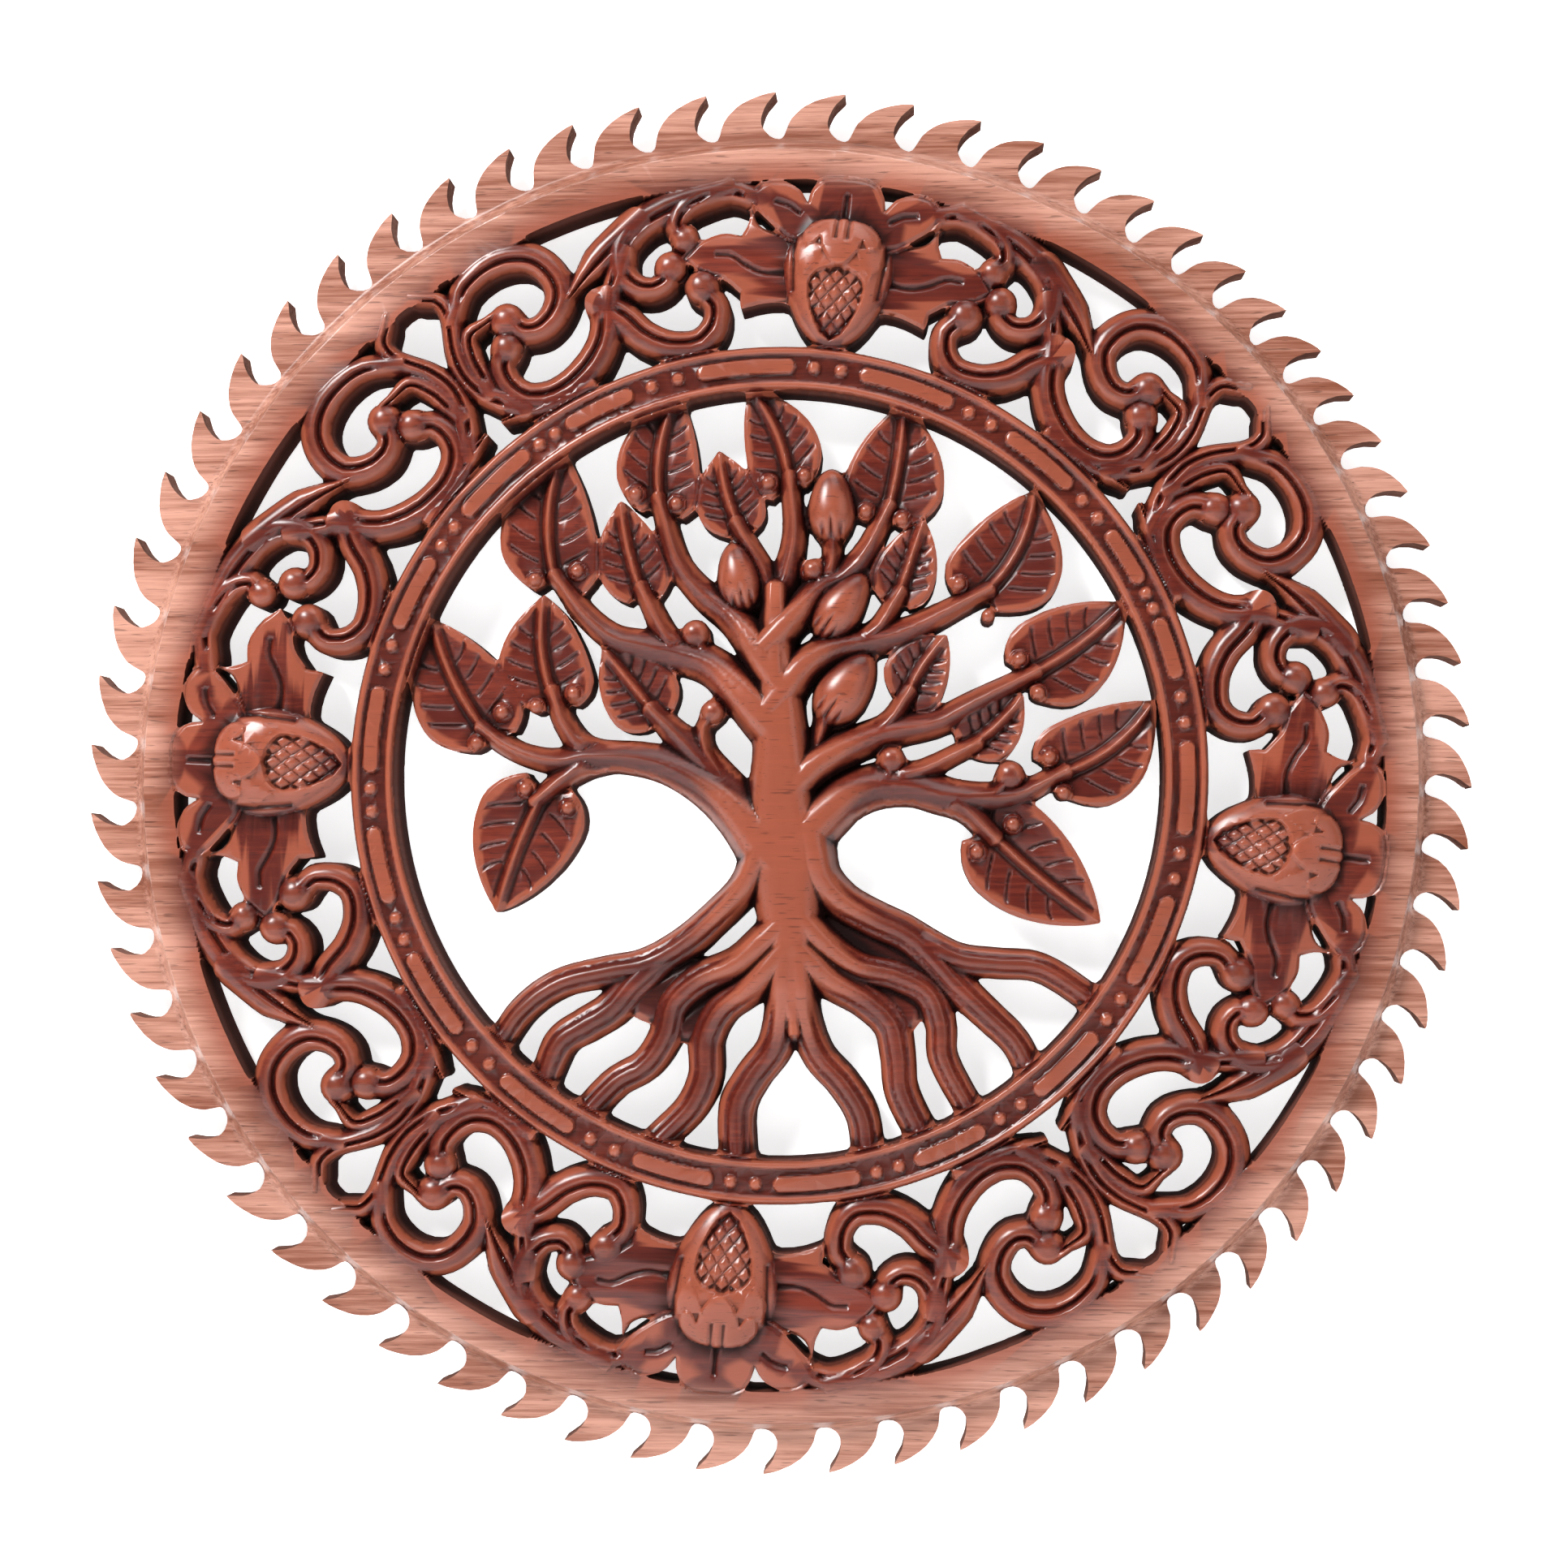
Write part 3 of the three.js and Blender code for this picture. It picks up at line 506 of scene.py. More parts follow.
tree = {
    "wallHeight": 11.6,
    "branchTipHeight": 15.6,
    "rootTipHeight": 15.6,
    "trunkHeight": 20.2,
    "trunkEdge": 14.0,
    "childDip": 2.6,
    "footSharp": 3.0,         # limbs leave the trunk flat and grow a rounder crest on their way
    "branchSharp": 1.5,
    "rootSharp": 2.0,
    "furrow": 0.16,           # share of a root's height that its two long furrows cut away
    "furrowPlace": 0.5,
    "furrowHalf": 0.13,
    "furrowRun": (0.05, 0.3),     # shares of the root's length over which the furrows deepen
    "grownBy": 0.5,               # share of its length by which a limb has its tip's height
    "childGrown": 0.3,
    "sideLimit": 1.2,
    "curlHeight": 15.5,
    "curlHalf": 2.6,
    "knobHeight": 16.6,
    "knobReach": 0.5,
    "trunkPower": 4,
    "trunkLimit": 1.1,
    "trunkMiddle": 0.42,
    "trunkTaper": 1.6,            # how far the trunk's two ends lie below its middle
    "taperRun": (0.2, 0.58),
    "trunkLine": [(6, -70), (5, -53), (4.8, -38), (3.6, -23), (2.6, -8), (2.3, 7), (1.6, 22), (1, 37),
                  (0.7, 52)],
    "trunkHalf": (2.4, 6.4, 9.6, 12, 10.6, 8.6, 7.2, 5.4, 3.8),
    "branches": [      # from the trunk out, with half widths from foot to tip
        {"line": [(-3, -17), (-10, -8), (-17, 1), (-24, 9), (-33.5, 18.5)], "half": (8.4, 3.6)},
        {"line": [(-3, -20), (-10, -10.5), (-18, -3), (-28, 3), (-38, 6.2), (-54, 7.2), (-63, 5.8),
                  (-71, 7), (-79, 10.5), (-83.5, 13.8)], "half": (8, 6, 4.2, 3)},
        {"line": [(-52, 7.5), (-58, 12), (-62, 18), (-64, 23.5)], "half": (4.2, 3), "child": True},
        {"line": [(-52, 6.5), (-60, 2), (-67.5, -4)], "half": (4.2, 3), "child": True},
        {"line": [(-3, 18), (-11, 27), (-19, 34), (-38, 39.5), (-47, 42), (-55, 48.5),
                  (-62.5, 58)], "half": (7.2, 3)},
        {"line": [(-25, 37), (-31, 42), (-37.5, 54)], "half": (4.2, 3), "child": True},
        {"line": [(-1.5, 33), (-6, 40), (-13, 48.5), (-21, 55), (-28, 64), (-33, 80)], "half": (6, 3)},
        {"line": [(0.5, 34), (0.4, 50), (3.6, 60), (6, 72), (5, 86)], "half": (4.8, 4.2, 3)},
        {"line": [(0.5, 48), (-3, 61), (-9.5, 73)], "half": (4.2, 3), "child": True},
        {"line": [(1.5, 43), (8, 50), (14, 56.5), (21, 60), (27, 67), (32.5, 77.5)], "half": (5.4, 3)},
        {"line": [(15, 57), (17, 64), (17, 71.5)], "half": (3.1, 3.1), "child": True},
        {"line": [(3, 26), (9, 33.5), (17, 38), (36, 42.5), (60, 54)], "half": (6, 3)},
        {"line": [(23, 39.5), (30, 44), (35.5, 52.5)], "half": (3.6, 2.8), "child": True},
        {"line": [(7, -1), (12, 4), (29, 12.8), (48, 17), (57, 21.8), (73.5, 30)], "half": (6, 3)},
        {"line": [(28, 12), (34, 17.5), (38, 23.5)], "half": (3.6, 2.8), "child": True},
        {"line": [(11, 3), (13, 11), (15, 18.5)], "half": (2.8, 3.1), "child": True},
        {"line": [(7, -17), (14, -11), (21, -5), (30, -1.8), (40, -1.8), (50, -4.5), (70, -4.5),
                  (82, 1)], "half": (8.4, 3.1)},
        {"line": [(31, 0.5), (42, 2.5), (56.5, 9.3)], "half": (3.6, 2.8), "child": True},
        {"line": [(49, -4.5), (56, -8.5), (62, -14.5)], "half": (4.8, 3.4), "child": True},
    ],
    "roots": [      # from the trunk down to the ring
        {"line": [(-4, -21), (-8.5, -31), (-16, -39), (-26, -47.5), (-37, -53.5), (-50, -56), (-63, -59.5),
                  (-73, -66.5), (-80, -76)], "half": (5, 5, 4.6, 4)},
        {"line": [(-22, -46), (-33, -53), (-41, -59.5), (-47, -66.5), (-55, -71.5), (-62, -76),
                  (-67, -87)], "half": (3, 5.4, 5.4, 4.4), "child": True},
        {"line": [(-2, -46), (-10, -53), (-22, -58.5), (-29, -65), (-31.5, -74), (-37, -82.5),
                  (-46, -88), (-54, -96)], "half": (5.4, 4.6)},
        {"line": [(0, -53), (-7, -60.5), (-15, -66.5), (-19.5, -75), (-20, -86), (-24, -95),
                  (-33, -104)], "half": (5.4, 4.8)},
        {"line": [(3, -56), (2.5, -68), (0, -78), (-6, -86), (-10.5, -95),
                  (-10.5, -111)], "half": (5.4, 5.4)},
        {"line": [(8, -58), (9, -69), (13, -80), (20, -88), (25.5, -97), (27.5, -110)], "half": (4.8, 4.8)},
        {"line": [(8, -50), (16, -57.5), (27, -64), (34, -71), (36, -80), (37, -90),
                  (43, -103)], "half": (6, 4.8)},
        {"line": [(9, -41), (15, -47.5), (24, -54), (36, -57), (45, -62), (48.5, -71), (49, -80),
                  (57, -96)], "half": (5.4, 4.2)},
        {"line": [(11.5, -20), (13.5, -28), (19.5, -35), (29, -40.5), (40, -46), (54, -60.5), (63, -69),
                  (70, -76), (75, -86)], "half": (6.4, 5.6, 5, 4.3)},
        {"line": [(31, -41.5), (44, -47.5), (54, -52), (65, -53.3), (77, -54.5),
                  (94, -65)], "half": (4.8, 4.3), "child": True},
    ],
    "webs": [      # low wood left between the roots close to the trunk
        {"line": [(-24, -57), (-36, -65)], "half": (4, 5)},
        {"line": [(-12, -61), (-25, -72)], "half": (4, 3.5)},
        {"line": [(26, -60), (38, -68)], "half": (4, 4)},
        {"line": [(16, -42), (40, -56)], "half": (3, 4)},
    ],
    "webHeight": 12.6,
    "webEdge": 1.0,
    "curls": [      # twigs that end in a knob
        {"line": [(-16, 1), (-20, 9), (-20.5, 15), (-18.5, 18.5)], "knob": 3.4},
        {"line": [(-19, 34), (-22, 41)], "knob": 4},
        {"line": [(15, 56), (12.5, 60)], "knob": 3},
        {"line": [(33, 0), (34, 4)], "knob": 3.8},
        {"line": [(57, -5), (65, -3.5), (67.5, -0.5)], "knob": 4.2},
    ],
}


def carveLimb(relief, drawn, footHeight, tipHeight, tipSharp, furrow):
    limb = Stroke(relief, drawn["line"], drawn["half"])
    grown = smoothStep(limb.share, 0, tree["grownBy"])
    crest = footHeight + (tipHeight - footHeight) * grown
    if drawn.get("child"):      # it comes out from below the limb it grows on
        crest = tipHeight - tree["childDip"] * (1 - smoothStep(limb.share, 0, tree["childGrown"]))
    side = np.abs(limb.side)
    sharp = tree["footSharp"] + (tipSharp - tree["footSharp"]) * grown
    rise = 1 - np.minimum(side, tree["sideLimit"]) ** sharp
    furrowed = furrow * smoothStep(limb.share, *tree["furrowRun"])
    rise -= furrowed * bell(side - tree["furrowPlace"], tree["furrowHalf"])
    relief.add(limb.area, limb.inside, tree["wallHeight"] + (crest - tree["wallHeight"]) * rise)
    return limb


def carveTrunk(relief):
    trunk = Stroke(relief, tree["trunkLine"], tree["trunkHalf"])
    across = np.minimum(np.abs(trunk.side), tree["trunkLimit"])
    fall = (tree["trunkHeight"] - tree["trunkEdge"]) * across ** tree["trunkPower"]
    taper = tree["trunkTaper"] * smoothStep(np.abs(trunk.share - tree["trunkMiddle"]), *tree["taperRun"])
    relief.add(trunk.area, trunk.inside, tree["trunkHeight"] - taper - fall)


def carveTree(relief):
    carveTrunk(relief)
    foot = tree["trunkHeight"]
    for drawn in tree["webs"]:
        web = Stroke(relief, drawn["line"], drawn["half"])
        relief.add(web.area, web.inside, tree["webHeight"] - bell(web.inside, tree["webEdge"]))
    for drawn in tree["branches"]:
        carveLimb(relief, drawn, foot, tree["branchTipHeight"], tree["branchSharp"], 0)
    for drawn in tree["roots"]:
        carveLimb(relief, drawn, foot, tree["rootTipHeight"], tree["rootSharp"], tree["furrow"])
    for drawn in tree["curls"]:
        twig = {"line": drawn["line"], "half": [tree["curlHalf"]] * 2}
        curl = carveLimb(relief, twig, tree["curlHeight"], tree["curlHeight"], tree["branchSharp"], 0)
        centre = curl.end + curl.heading * tree["knobReach"] * drawn["knob"]
        addBall(relief, centre, drawn["knob"], tree["knobHeight"])


leaf = {
    "back": -0.17,          # how far the lobes reach behind the notch, as a share of the length
    "widest": 0.2,
    "reachShare": 0.7,      # how far round the rib a leaf is worked out, as a share of its width
    "tipPower": 0.9,
    "tipFullness": 0.9,
    "edgeSlant": 0.85,      # the edge runs at a slant, so it is nearer than it lies across the rib
    "notchSlope": 1.5,
    "notchSlant": 0.6,
    "smallestHalf": 0.5,
    "edgeHeight": 12.4,
    "edgeDrop": 0.9,
    "edgeHalf": 0.6,
    "scoop": 1.0,
    "ribRise": 2.6,
    "ribHalf": 1.15,
    "ribThinning": 0.45,
    "besideRib": 2.4,       # a shallow hollow runs along the rib
    "besideDepth": 0.5,
    "besideHalf": 0.8,
    "veins": (0.08, 0.25, 0.42, 0.58),
    "veinDepth": 0.75,
    "veinHalf": 0.5,
    "veinSweep": 0.2,
    "veinBend": 1.5,
    "veinStart": (0.2, 0.32),
    "veinEnd": (0.75, 0.9),
    "bulbRadius": 2.0,
    "bulbHeight": 15.4,
    "leaves": [      # notch between the lobes, tip, full width and how far the rib bows to the left
        ((-64.5, 60), (-62, 97), 29, 3),
        ((-33.5, 82), (-28, 114), 25, 2.5),
        ((4.5, 88), (-7, 115), 22.5, -2),
        ((33.5, 79), (38, 110), 29, -1),
        ((62, 55), (76, 84), 31.5, -3),
        ((75.5, 31), (102, 51), 29, -1.5),
        ((84, 2), (110, 22.5), 29, -3),
        ((63, -15.5), (94.5, -41.5), 30, -1),
        ((-68, -4.5), (-81, -38.5), 31.5, -1),
        ((-85, 15), (-100.5, 47.5), 30, 2),
        ((-65, 25), (-67.5, 54.5), 27, 2),
        ((-35, 20), (-50, 38.5), 22.5, 0),
        ((-39, 56), (-45, 82), 20, 1),
        ((-10.5, 75), (-16, 96.5), 19.5, 1),
        ((36.5, 54), (44, 76), 18, 0),
        ((39, 25), (50.5, 42), 19, 1),
        ((58, 10.5), (72.5, 24.5), 17.5, -1),
    ],
    "bulbs": [      # curled ends of the large leaves' lobes
        (-70, 59), (-57.5, 61.5), (-40.5, 84), (-28.5, 81), (-1.5, 87), (9, 89), (27, 78.5), (37.5, 76),
        (54, 57), (62.5, 47.5), (71.5, 35), (77, 25), (80, 6.5), (84, -4), (69.5, -13), (59, -21),
        (-72.5, -2.5), (-60, -8), (-79.5, 20), (-87, 11), (-69.5, 21.5), (-58.5, 25.5),
    ],
}


def leafHalf(share, width):      # half the leaf's width at a share of its length
    tipward = np.clip((share - leaf["widest"]) / (1 - leaf["widest"]), 0, 1)
    backward = np.clip((leaf["widest"] - share) / (leaf["widest"] - leaf["back"]), 0, 1)
    tapering = (1 - tipward) ** leaf["tipPower"] * (1 + leaf["tipFullness"] * tipward)
    return 0.5 * width * np.where(share > leaf["widest"], tapering, np.sqrt(1 - backward ** 2))


def leafHeight(share, offset, inside, half, length):
    away = np.abs(offset)
    across = np.clip(away / np.maximum(half, leaf["smallestHalf"]), 0, 1)
    height = leaf["edgeHeight"] + leaf["scoop"] * across ** 2
    height -= leaf["edgeDrop"] * bell(inside, leaf["edgeHalf"])
    thinned = 1 - leaf["ribThinning"] * np.clip(share, 0, 1)
    height += leaf["ribRise"] * thinned * bell(offset, leaf["ribHalf"])
    height -= leaf["besideDepth"] * bell(away - leaf["besideRib"], leaf["besideHalf"])
    veined = smoothStep(across, *leaf["veinStart"]) * (1 - smoothStep(across, *leaf["veinEnd"]))
    for start in leaf["veins"]:
        swept = share - start - leaf["veinSweep"] * across ** leaf["veinBend"]
        height -= leaf["veinDepth"] * veined * bell(swept * length * leaf["edgeSlant"], leaf["veinHalf"])
    return height


def carveLeaf(relief, notch, tip, width, bow):
    axis = np.array(tip, float) - notch
    length = np.hypot(*axis)
    axis /= length
    reach = width * leaf["reachShare"] + abs(bow)
    corners = np.array([notch, tip])
    area, x, z = relief.window(corners.min(0) - reach, corners.max(0) + reach)
    share = ((x - notch[0]) * axis[0] + (z - notch[1]) * axis[1]) / length
    offset = (z - notch[1]) * axis[0] - (x - notch[0]) * axis[1]
    offset = offset - bow * 4 * share * (1 - share)
    half = leafHalf(share, width)
    away = np.abs(offset)
    past = np.maximum(0, np.maximum(share - 1, leaf["back"] - share)) * length
    inside = np.where(past > 0, -past - away, (half - away) * leaf["edgeSlant"])
    notched = (away + leaf["notchSlope"] * share * length) * leaf["notchSlant"]
    inside = np.where(share < 0, np.minimum(inside, notched), inside)
    relief.add(area, inside, leafHeight(share, offset, inside, half, length))


def carveLeaves(relief):
    for drawn in leaf["leaves"]:
        carveLeaf(relief, *drawn)
    for spot in leaf["bulbs"]:
        addBall(relief, spot, leaf["bulbRadius"], leaf["bulbHeight"])


bud = {
    "edgeHeight": 12.5,
    "height": 19.0,
    "widest": 0.4,            # as a share of the length, as are the next two
    "tipSpread": 0.62,
    "footSpread": 0.44,
    "tipPower": 1.6,
    "footPower": 2.0,
    "domePower": 0.9,
    "cuts": [(-0.2, 0.32), (0, 0.42), (0.2, 0.32)],      # place across the bud and how far up each one runs
    "cutFade": 0.2,
    "cutHalf": 0.55,
    "cutDepth": 1.0,
    "buds": [      # foot, tip and full width
        ((17, 70), (17, 90.5), 14),
        ((-8.5, 50), (-12, 69), 13),
        ((13.5, 42), (26.5, 59.5), 13.5),
        ((14.5, 17.5), (28, 36), 15.5),
    ],
}


def carveBud(relief, foot, tip, width):
    axis = np.array(tip, float) - foot
    length = np.hypot(*axis)
    axis /= length
    middle = foot + axis * length / 2
    area, x, z = relief.window(middle - length, middle + length)
    share = ((x - foot[0]) * axis[0] + (z - foot[1]) * axis[1]) / length
    offset = (z - foot[1]) * axis[0] - (x - foot[0]) * axis[1]
    tipward = share > bud["widest"]
    spread = np.where(tipward, bud["tipSpread"], bud["footSpread"])
    power = np.where(tipward, bud["tipPower"], bud["footPower"])
    far = (np.abs(share - bud["widest"]) / spread) ** power + (2 * np.abs(offset) / width) ** 2
    inside = (1 - np.sqrt(far)) * width / 2
    dome = np.sqrt(np.maximum(0, 1 - np.minimum(far, 1)))
    height = bud["edgeHeight"] + (bud["height"] - bud["edgeHeight"]) * dome ** bud["domePower"]
    for place, top in bud["cuts"]:
        depth = bud["cutDepth"] * (1 - smoothStep(share, top - bud["cutFade"], top))
        height -= depth * bell(offset - place * width, bud["cutHalf"])
    relief.add(area, inside, height)


def carveBuds(relief):
    for drawn in bud["buds"]:
        carveBud(relief, *drawn)


def carvedRelief():
    relief = Relief()
    carveTeeth(relief)
    carveRim(relief)
    carveRing(relief)
    carveScrolls(relief)
    for angle in band["flowerAngles"]:
        carveFlower(relief, angle)
    carveLeaves(relief)
    carveTree(relief)
    carveBuds(relief)
    return relief


panelMesh = {
    "name": "carvedPanel",
    "triangles": 186000,      # kept after thinning
    "sharpAngle": 48.0,
    "snap": 0.05,             # the outline keeps this clear of the sheet's own points
    "cavityReach": 3.2,       # how far around a point its hollows are looked for
    "crestAndCreaseReach": 1.0,
    "blurs": 3,
}


def clipSheet(relief):      # triangles of the front inside the outline, and the outline's edges
    outline = relief.outline().ravel()
    outline = np.where(np.abs(outline) < panelMesh["snap"], panelMesh["snap"], outline)
    count = len(relief.axis)
    node = np.arange(count * count).reshape(count, count)
    a, b, c, d = (part.ravel() for part in (node[:-1, :-1], node[:-1, 1:], node[1:, 1:], node[1:, :-1]))
    triangles = np.vstack([np.stack([a, b, c], 1), np.stack([a, c, d], 1)])
    inner = outline > 0
    known = inner[triangles].sum(1)

    def oddFirst(group, odd):      # rolls each triangle until its odd corner comes first
        first = odd.argmax(1)
        return np.stack([group[np.arange(len(group)), (first + k) % 3] for k in range(3)], 1)
    one = triangles[known == 1]
    one = oddFirst(one, inner[one])
    two = triangles[known == 2]
    two = oddFirst(two, ~inner[two])
    crossed = np.vstack([one[:, [0, 1]], one[:, [0, 2]], two[:, [1, 0]], two[:, [2, 0]]])
    keys, place = np.unique(np.sort(crossed, 1) @ np.array([count * count, 1]), return_inverse=True)
    low, high = np.divmod(keys, count * count)
    place = place.ravel() + count * count
    oneLeft, oneRight, twoLeft, twoRight = np.split(place, np.cumsum([len(one), len(one), len(two)]))
    faces = np.vstack([
        triangles[known == 3],
        np.stack([one[:, 0], oneLeft, oneRight], 1),
        np.stack([twoLeft, two[:, 1], two[:, 2]], 1),
        np.stack([twoLeft, two[:, 2], twoRight], 1),
    ])
    border = np.vstack([np.stack([oneLeft, oneRight], 1), np.stack([twoRight, twoLeft], 1)])
    x, z = np.meshgrid(relief.axis, relief.axis)
    flat = np.stack([x.ravel(), z.ravel(), relief.top.ravel()], 1)
    share = (outline[low] / (outline[low] - outline[high]))[:, None]
    points = np.vstack([flat, flat[low] + (flat[high] - flat[low]) * share])
    used, faces = np.unique(faces, return_inverse=True)
    return points[used], faces.reshape(-1, 3), np.searchsorted(used, border)


def sheetMesh(name, points, faces):      # sheet x, z and height become X, Z and -Y, in metres
    mesh = bpy.data.meshes.new(name)
    mesh.vertices.add(len(points))
    spots = np.stack([points[:, 0], -points[:, 2], points[:, 1]], 1) * mm
    mesh.vertices.foreach_set("co", spots.astype(np.float32).ravel())
    mesh.loops.add(faces.size)
    mesh.loops.foreach_set("vertex_index", faces.astype(np.int32).ravel())
    mesh.polygons.add(len(faces))
    mesh.polygons.foreach_set("loop_start", np.arange(0, faces.size, 3, dtype=np.int32))
    mesh.update()
    return mesh


def thinnedMesh(name, points, faces, target):      # fewer triangles, kept where the carving needs them
    helper = bpy.data.objects.new("thinning", sheetMesh("thinning", points, faces))
    bpy.context.scene.collection.objects.link(helper)
    thin = helper.modifiers.new("thin", "DECIMATE")
    thin.ratio = min(1, target / len(faces))
    shaped = helper.evaluated_get(bpy.context.evaluated_depsgraph_get())
    mesh = bpy.data.meshes.new_from_object(shaped)
    mesh.name = name
    rough = helper.data
    bpy.data.objects.remove(helper)
    bpy.data.meshes.remove(rough)
    return mesh


def blurred(values, reach):      # box blurs along and across in turn, close to a soft round one
    half = max(1, int(round(reach / sheet["step"])))
    for _ in range(2 * panelMesh["blurs"]):
        padded = np.pad(values, ((half + 1, half), (0, 0)), mode="edge")
        total = np.cumsum(padded, axis=0)
        values = ((total[2 * half + 1:] - total[:-2 * half - 1]) / (2 * half + 1)).T
    return values


def paintAttribute(mesh, relief, name, values):      # sheet values carried over to the mesh's points
    spots = np.zeros(len(mesh.vertices) * 3, np.float32)
    mesh.vertices.foreach_get("co", spots)
    spots = spots.reshape(-1, 3) / mm
    place = (spots[:, [2, 0]] + sheet["reach"]) / (relief.axis[1] - relief.axis[0])
    row, col = np.floor(place).astype(int).T
    up, right = (place - np.floor(place)).T
    lower = values[row, col] * (1 - right) + values[row, col + 1] * right
    upper = values[row + 1, col] * (1 - right) + values[row + 1, col + 1] * right
    attribute = mesh.attributes.new(name, "FLOAT", "POINT")
    attribute.data.foreach_set("value", (lower * (1 - up) + upper * up).astype(np.float32))


def panelObject(relief):
    points, faces, border = clipSheet(relief)
    behind = len(points)
    wallLeft = np.stack([border[:, 1], border[:, 0], border[:, 0] + behind], 1)
    wallRight = np.stack([border[:, 1], border[:, 0] + behind, border[:, 1] + behind], 1)
    points = np.vstack([points, points * (1, 1, 0)])
    faces = np.vstack([faces, faces[:, ::-1] + behind, wallLeft, wallRight])
    print("sheet cut:", len(faces), "triangles")
    mesh = thinnedMesh(panelMesh["name"], points, faces, panelMesh["triangles"])
    print("thinned:", len(mesh.polygons), "triangles")
    covered = np.where(relief.outline() > 0, relief.top, sheet["floor"])
    # painted shade in hollows: how far a point lies below its blurred surroundings
    paintAttribute(mesh, relief, "cavity", blurred(covered, panelMesh["cavityReach"]) - relief.top)
    # painted shade in creases: how far a point lies below its near surroundings
    paintAttribute(mesh, relief, "cut", blurred(relief.top, panelMesh["crestAndCreaseReach"]) - relief.top)
    # crest wear and painted highlight: how far a point stands above its near surroundings
    paintAttribute(mesh, relief, "wearAndHighlight", relief.top - blurred(covered, panelMesh["crestAndCreaseReach"]))
    mesh.shade_smooth()
    mesh.set_sharp_from_angle(angle=math.radians(panelMesh["sharpAngle"]))
    panel = bpy.data.objects.new(panelMesh["name"], mesh)
    bpy.context.scene.collection.objects.link(panel)
    even = panel.modifiers.new("evenShading", "WEIGHTED_NORMAL")
    even.keep_sharp = True
    return panel


class Wire:      # a shader value: arithmetic on it adds Math nodes to its tree
    def __init__(self, tree, socket=None):
        self.tree = tree
        self.socket = socket

    def add(self, kind, settings, sockets, output=0):      # settings first, since they change the sockets
        node = self.tree.nodes.new(kind)
        for name, value in settings.items():
            setattr(node, name, value)
        for name, value in sockets.items():
            if isinstance(value, Wire):
                self.tree.links.new(value.socket, node.inputs[name])
            else:
                node.inputs[name].default_value = value
        return Wire(self.tree, node.outputs[output])

    def maths(self, operation, first, second=0.0):
        return self.add("ShaderNodeMath", {"operation": operation}, {0: first, 1: second})

    def __add__(self, other):
        return self.maths("ADD", self, other)

    def __sub__(self, other):
        return self.maths("SUBTRACT", self, other)

    def __rsub__(self, other):
        return self.maths("SUBTRACT", other, self)

    def __mul__(self, other):
        return self.maths("MULTIPLY", self, other)

    __radd__ = __add__
    __rmul__ = __mul__

    def between(self, low, high):      # 0 below the one value, 1 above the other, smooth in between
        settings = {"interpolation_type": "SMOOTHSTEP"}
        return self.add("ShaderNodeMapRange", settings, {"Value": self, "From Min": low, "From Max": high})

    def colour(self, first, second):      # first colour where this is 0, second where it is 1
        return self.add("ShaderNodeMix", {"data_type": "RGBA"}, {"Factor": self, 6: first, 7: second}, 2)

    def stretched(self, sizes):      # a vector multiplied along each axis
        settings = {"operation": "MULTIPLY"}
        return self.add("ShaderNodeVectorMath", settings, {0: self, 1: sizes})

    def noise(self, sizes, detail, rough):
        sockets = {"Vector": self.stretched(sizes), "Scale": 1.0, "Detail": detail, "Roughness": rough}
        return self.add("ShaderNodeTexNoise", {}, sockets)

    def painted(self, name):      # a value kept on the mesh's points
        return self.add("ShaderNodeAttribute", {"attribute_name": name}, {}, "Fac")


def linear(red, green, blue):      # a screen colour in 0 to 255 as shader light
    def channel(value):
        value = value / 255
        return value / 12.92 if value <= 0.04045 else ((value + 0.055) / 1.055) ** 2.4
    return (channel(red), channel(green), channel(blue), 1.0)


wood = {
    "dark": linear(36, 9, 7),
    "middle": linear(78, 22, 14),
    "light": linear(112, 42, 27),
    # painted shade for hollows and creases, partly stain on the deepest parts
    "recessShadeAndStain": linear(14, 5, 5),
    # worn wood, also a painted sheen and highlight on the highest parts and crests
    "wornAndSheen": linear(162, 86, 62),
    "edgeDark": linear(128, 74, 54),    # the toothed edge and the rim hold less stain; their paler tone is partly painted sheen
    "edgeLightAndSheen": linear(198, 147, 128),
    # noise turns in a metre along each axis, detail and roughness: grain runs across the panel
    "bands": ((9.0, 70.0, 70.0), 3, 0.55),
    "streaks": ((30.0, 900.0, 900.0), 4, 0.65),
    "pores": ((130.0, 1700.0, 1700.0), 1, 0.55),
    "bandShare": 0.55,                  # the streaks make up the rest of the grain's tone
    "middleTones": (0.24, 0.46),
    "lightTones": (0.45, 0.66),
    "edgeTones": (0.36, 0.64),
    "poreTones": (0.62, 0.74),
    "rimStart": (0.172, 0.186),         # distance from the middle in metres where the paler edge begins
    "rubbedAndSheenHeights": (0.0162, 0.0184),
    "deepHeights": (0.006, 0.0125),
    "hollowDepths": (0.0, 2.0),
    "cutDepths": (0.08, 0.5),
    "wornAndSheenHeights": (0.1, 0.8),
    "sideWallFacing": (0.6, 0.15),          # how far a side wall faces forward
    # how much of its colour each of these lays over the grain
    "edgeCover": 0.9,
    "rubbedAndSheenCover": 0.6,
    "poreCover": 0.5,
    "wornAndSheenCover": 0.6,
    "hollowShadeCover": 0.85,
    "rimClears": 0.85,
    "cutShadeCover": 0.7,
    "deepStainAndShadeCover": 0.8,
    "sideWallStainAndShadeCover": 0.65,
    "roughness": 0.28,
    "streakRough": 0.12,
    "hollowRough": 0.3,
    "deepRough": 0.5,
    "sawnRough": 0.4,
    "poreRough": 0.1,
    "coat": 0.8,
    "coatRoughness": 0.28,
    "cutDulls": 0.6,
    "specular": 0.08,
    "poreBump": 0.6,
    "bump": 0.2,
    "bumpDepth": 0.0002,
}


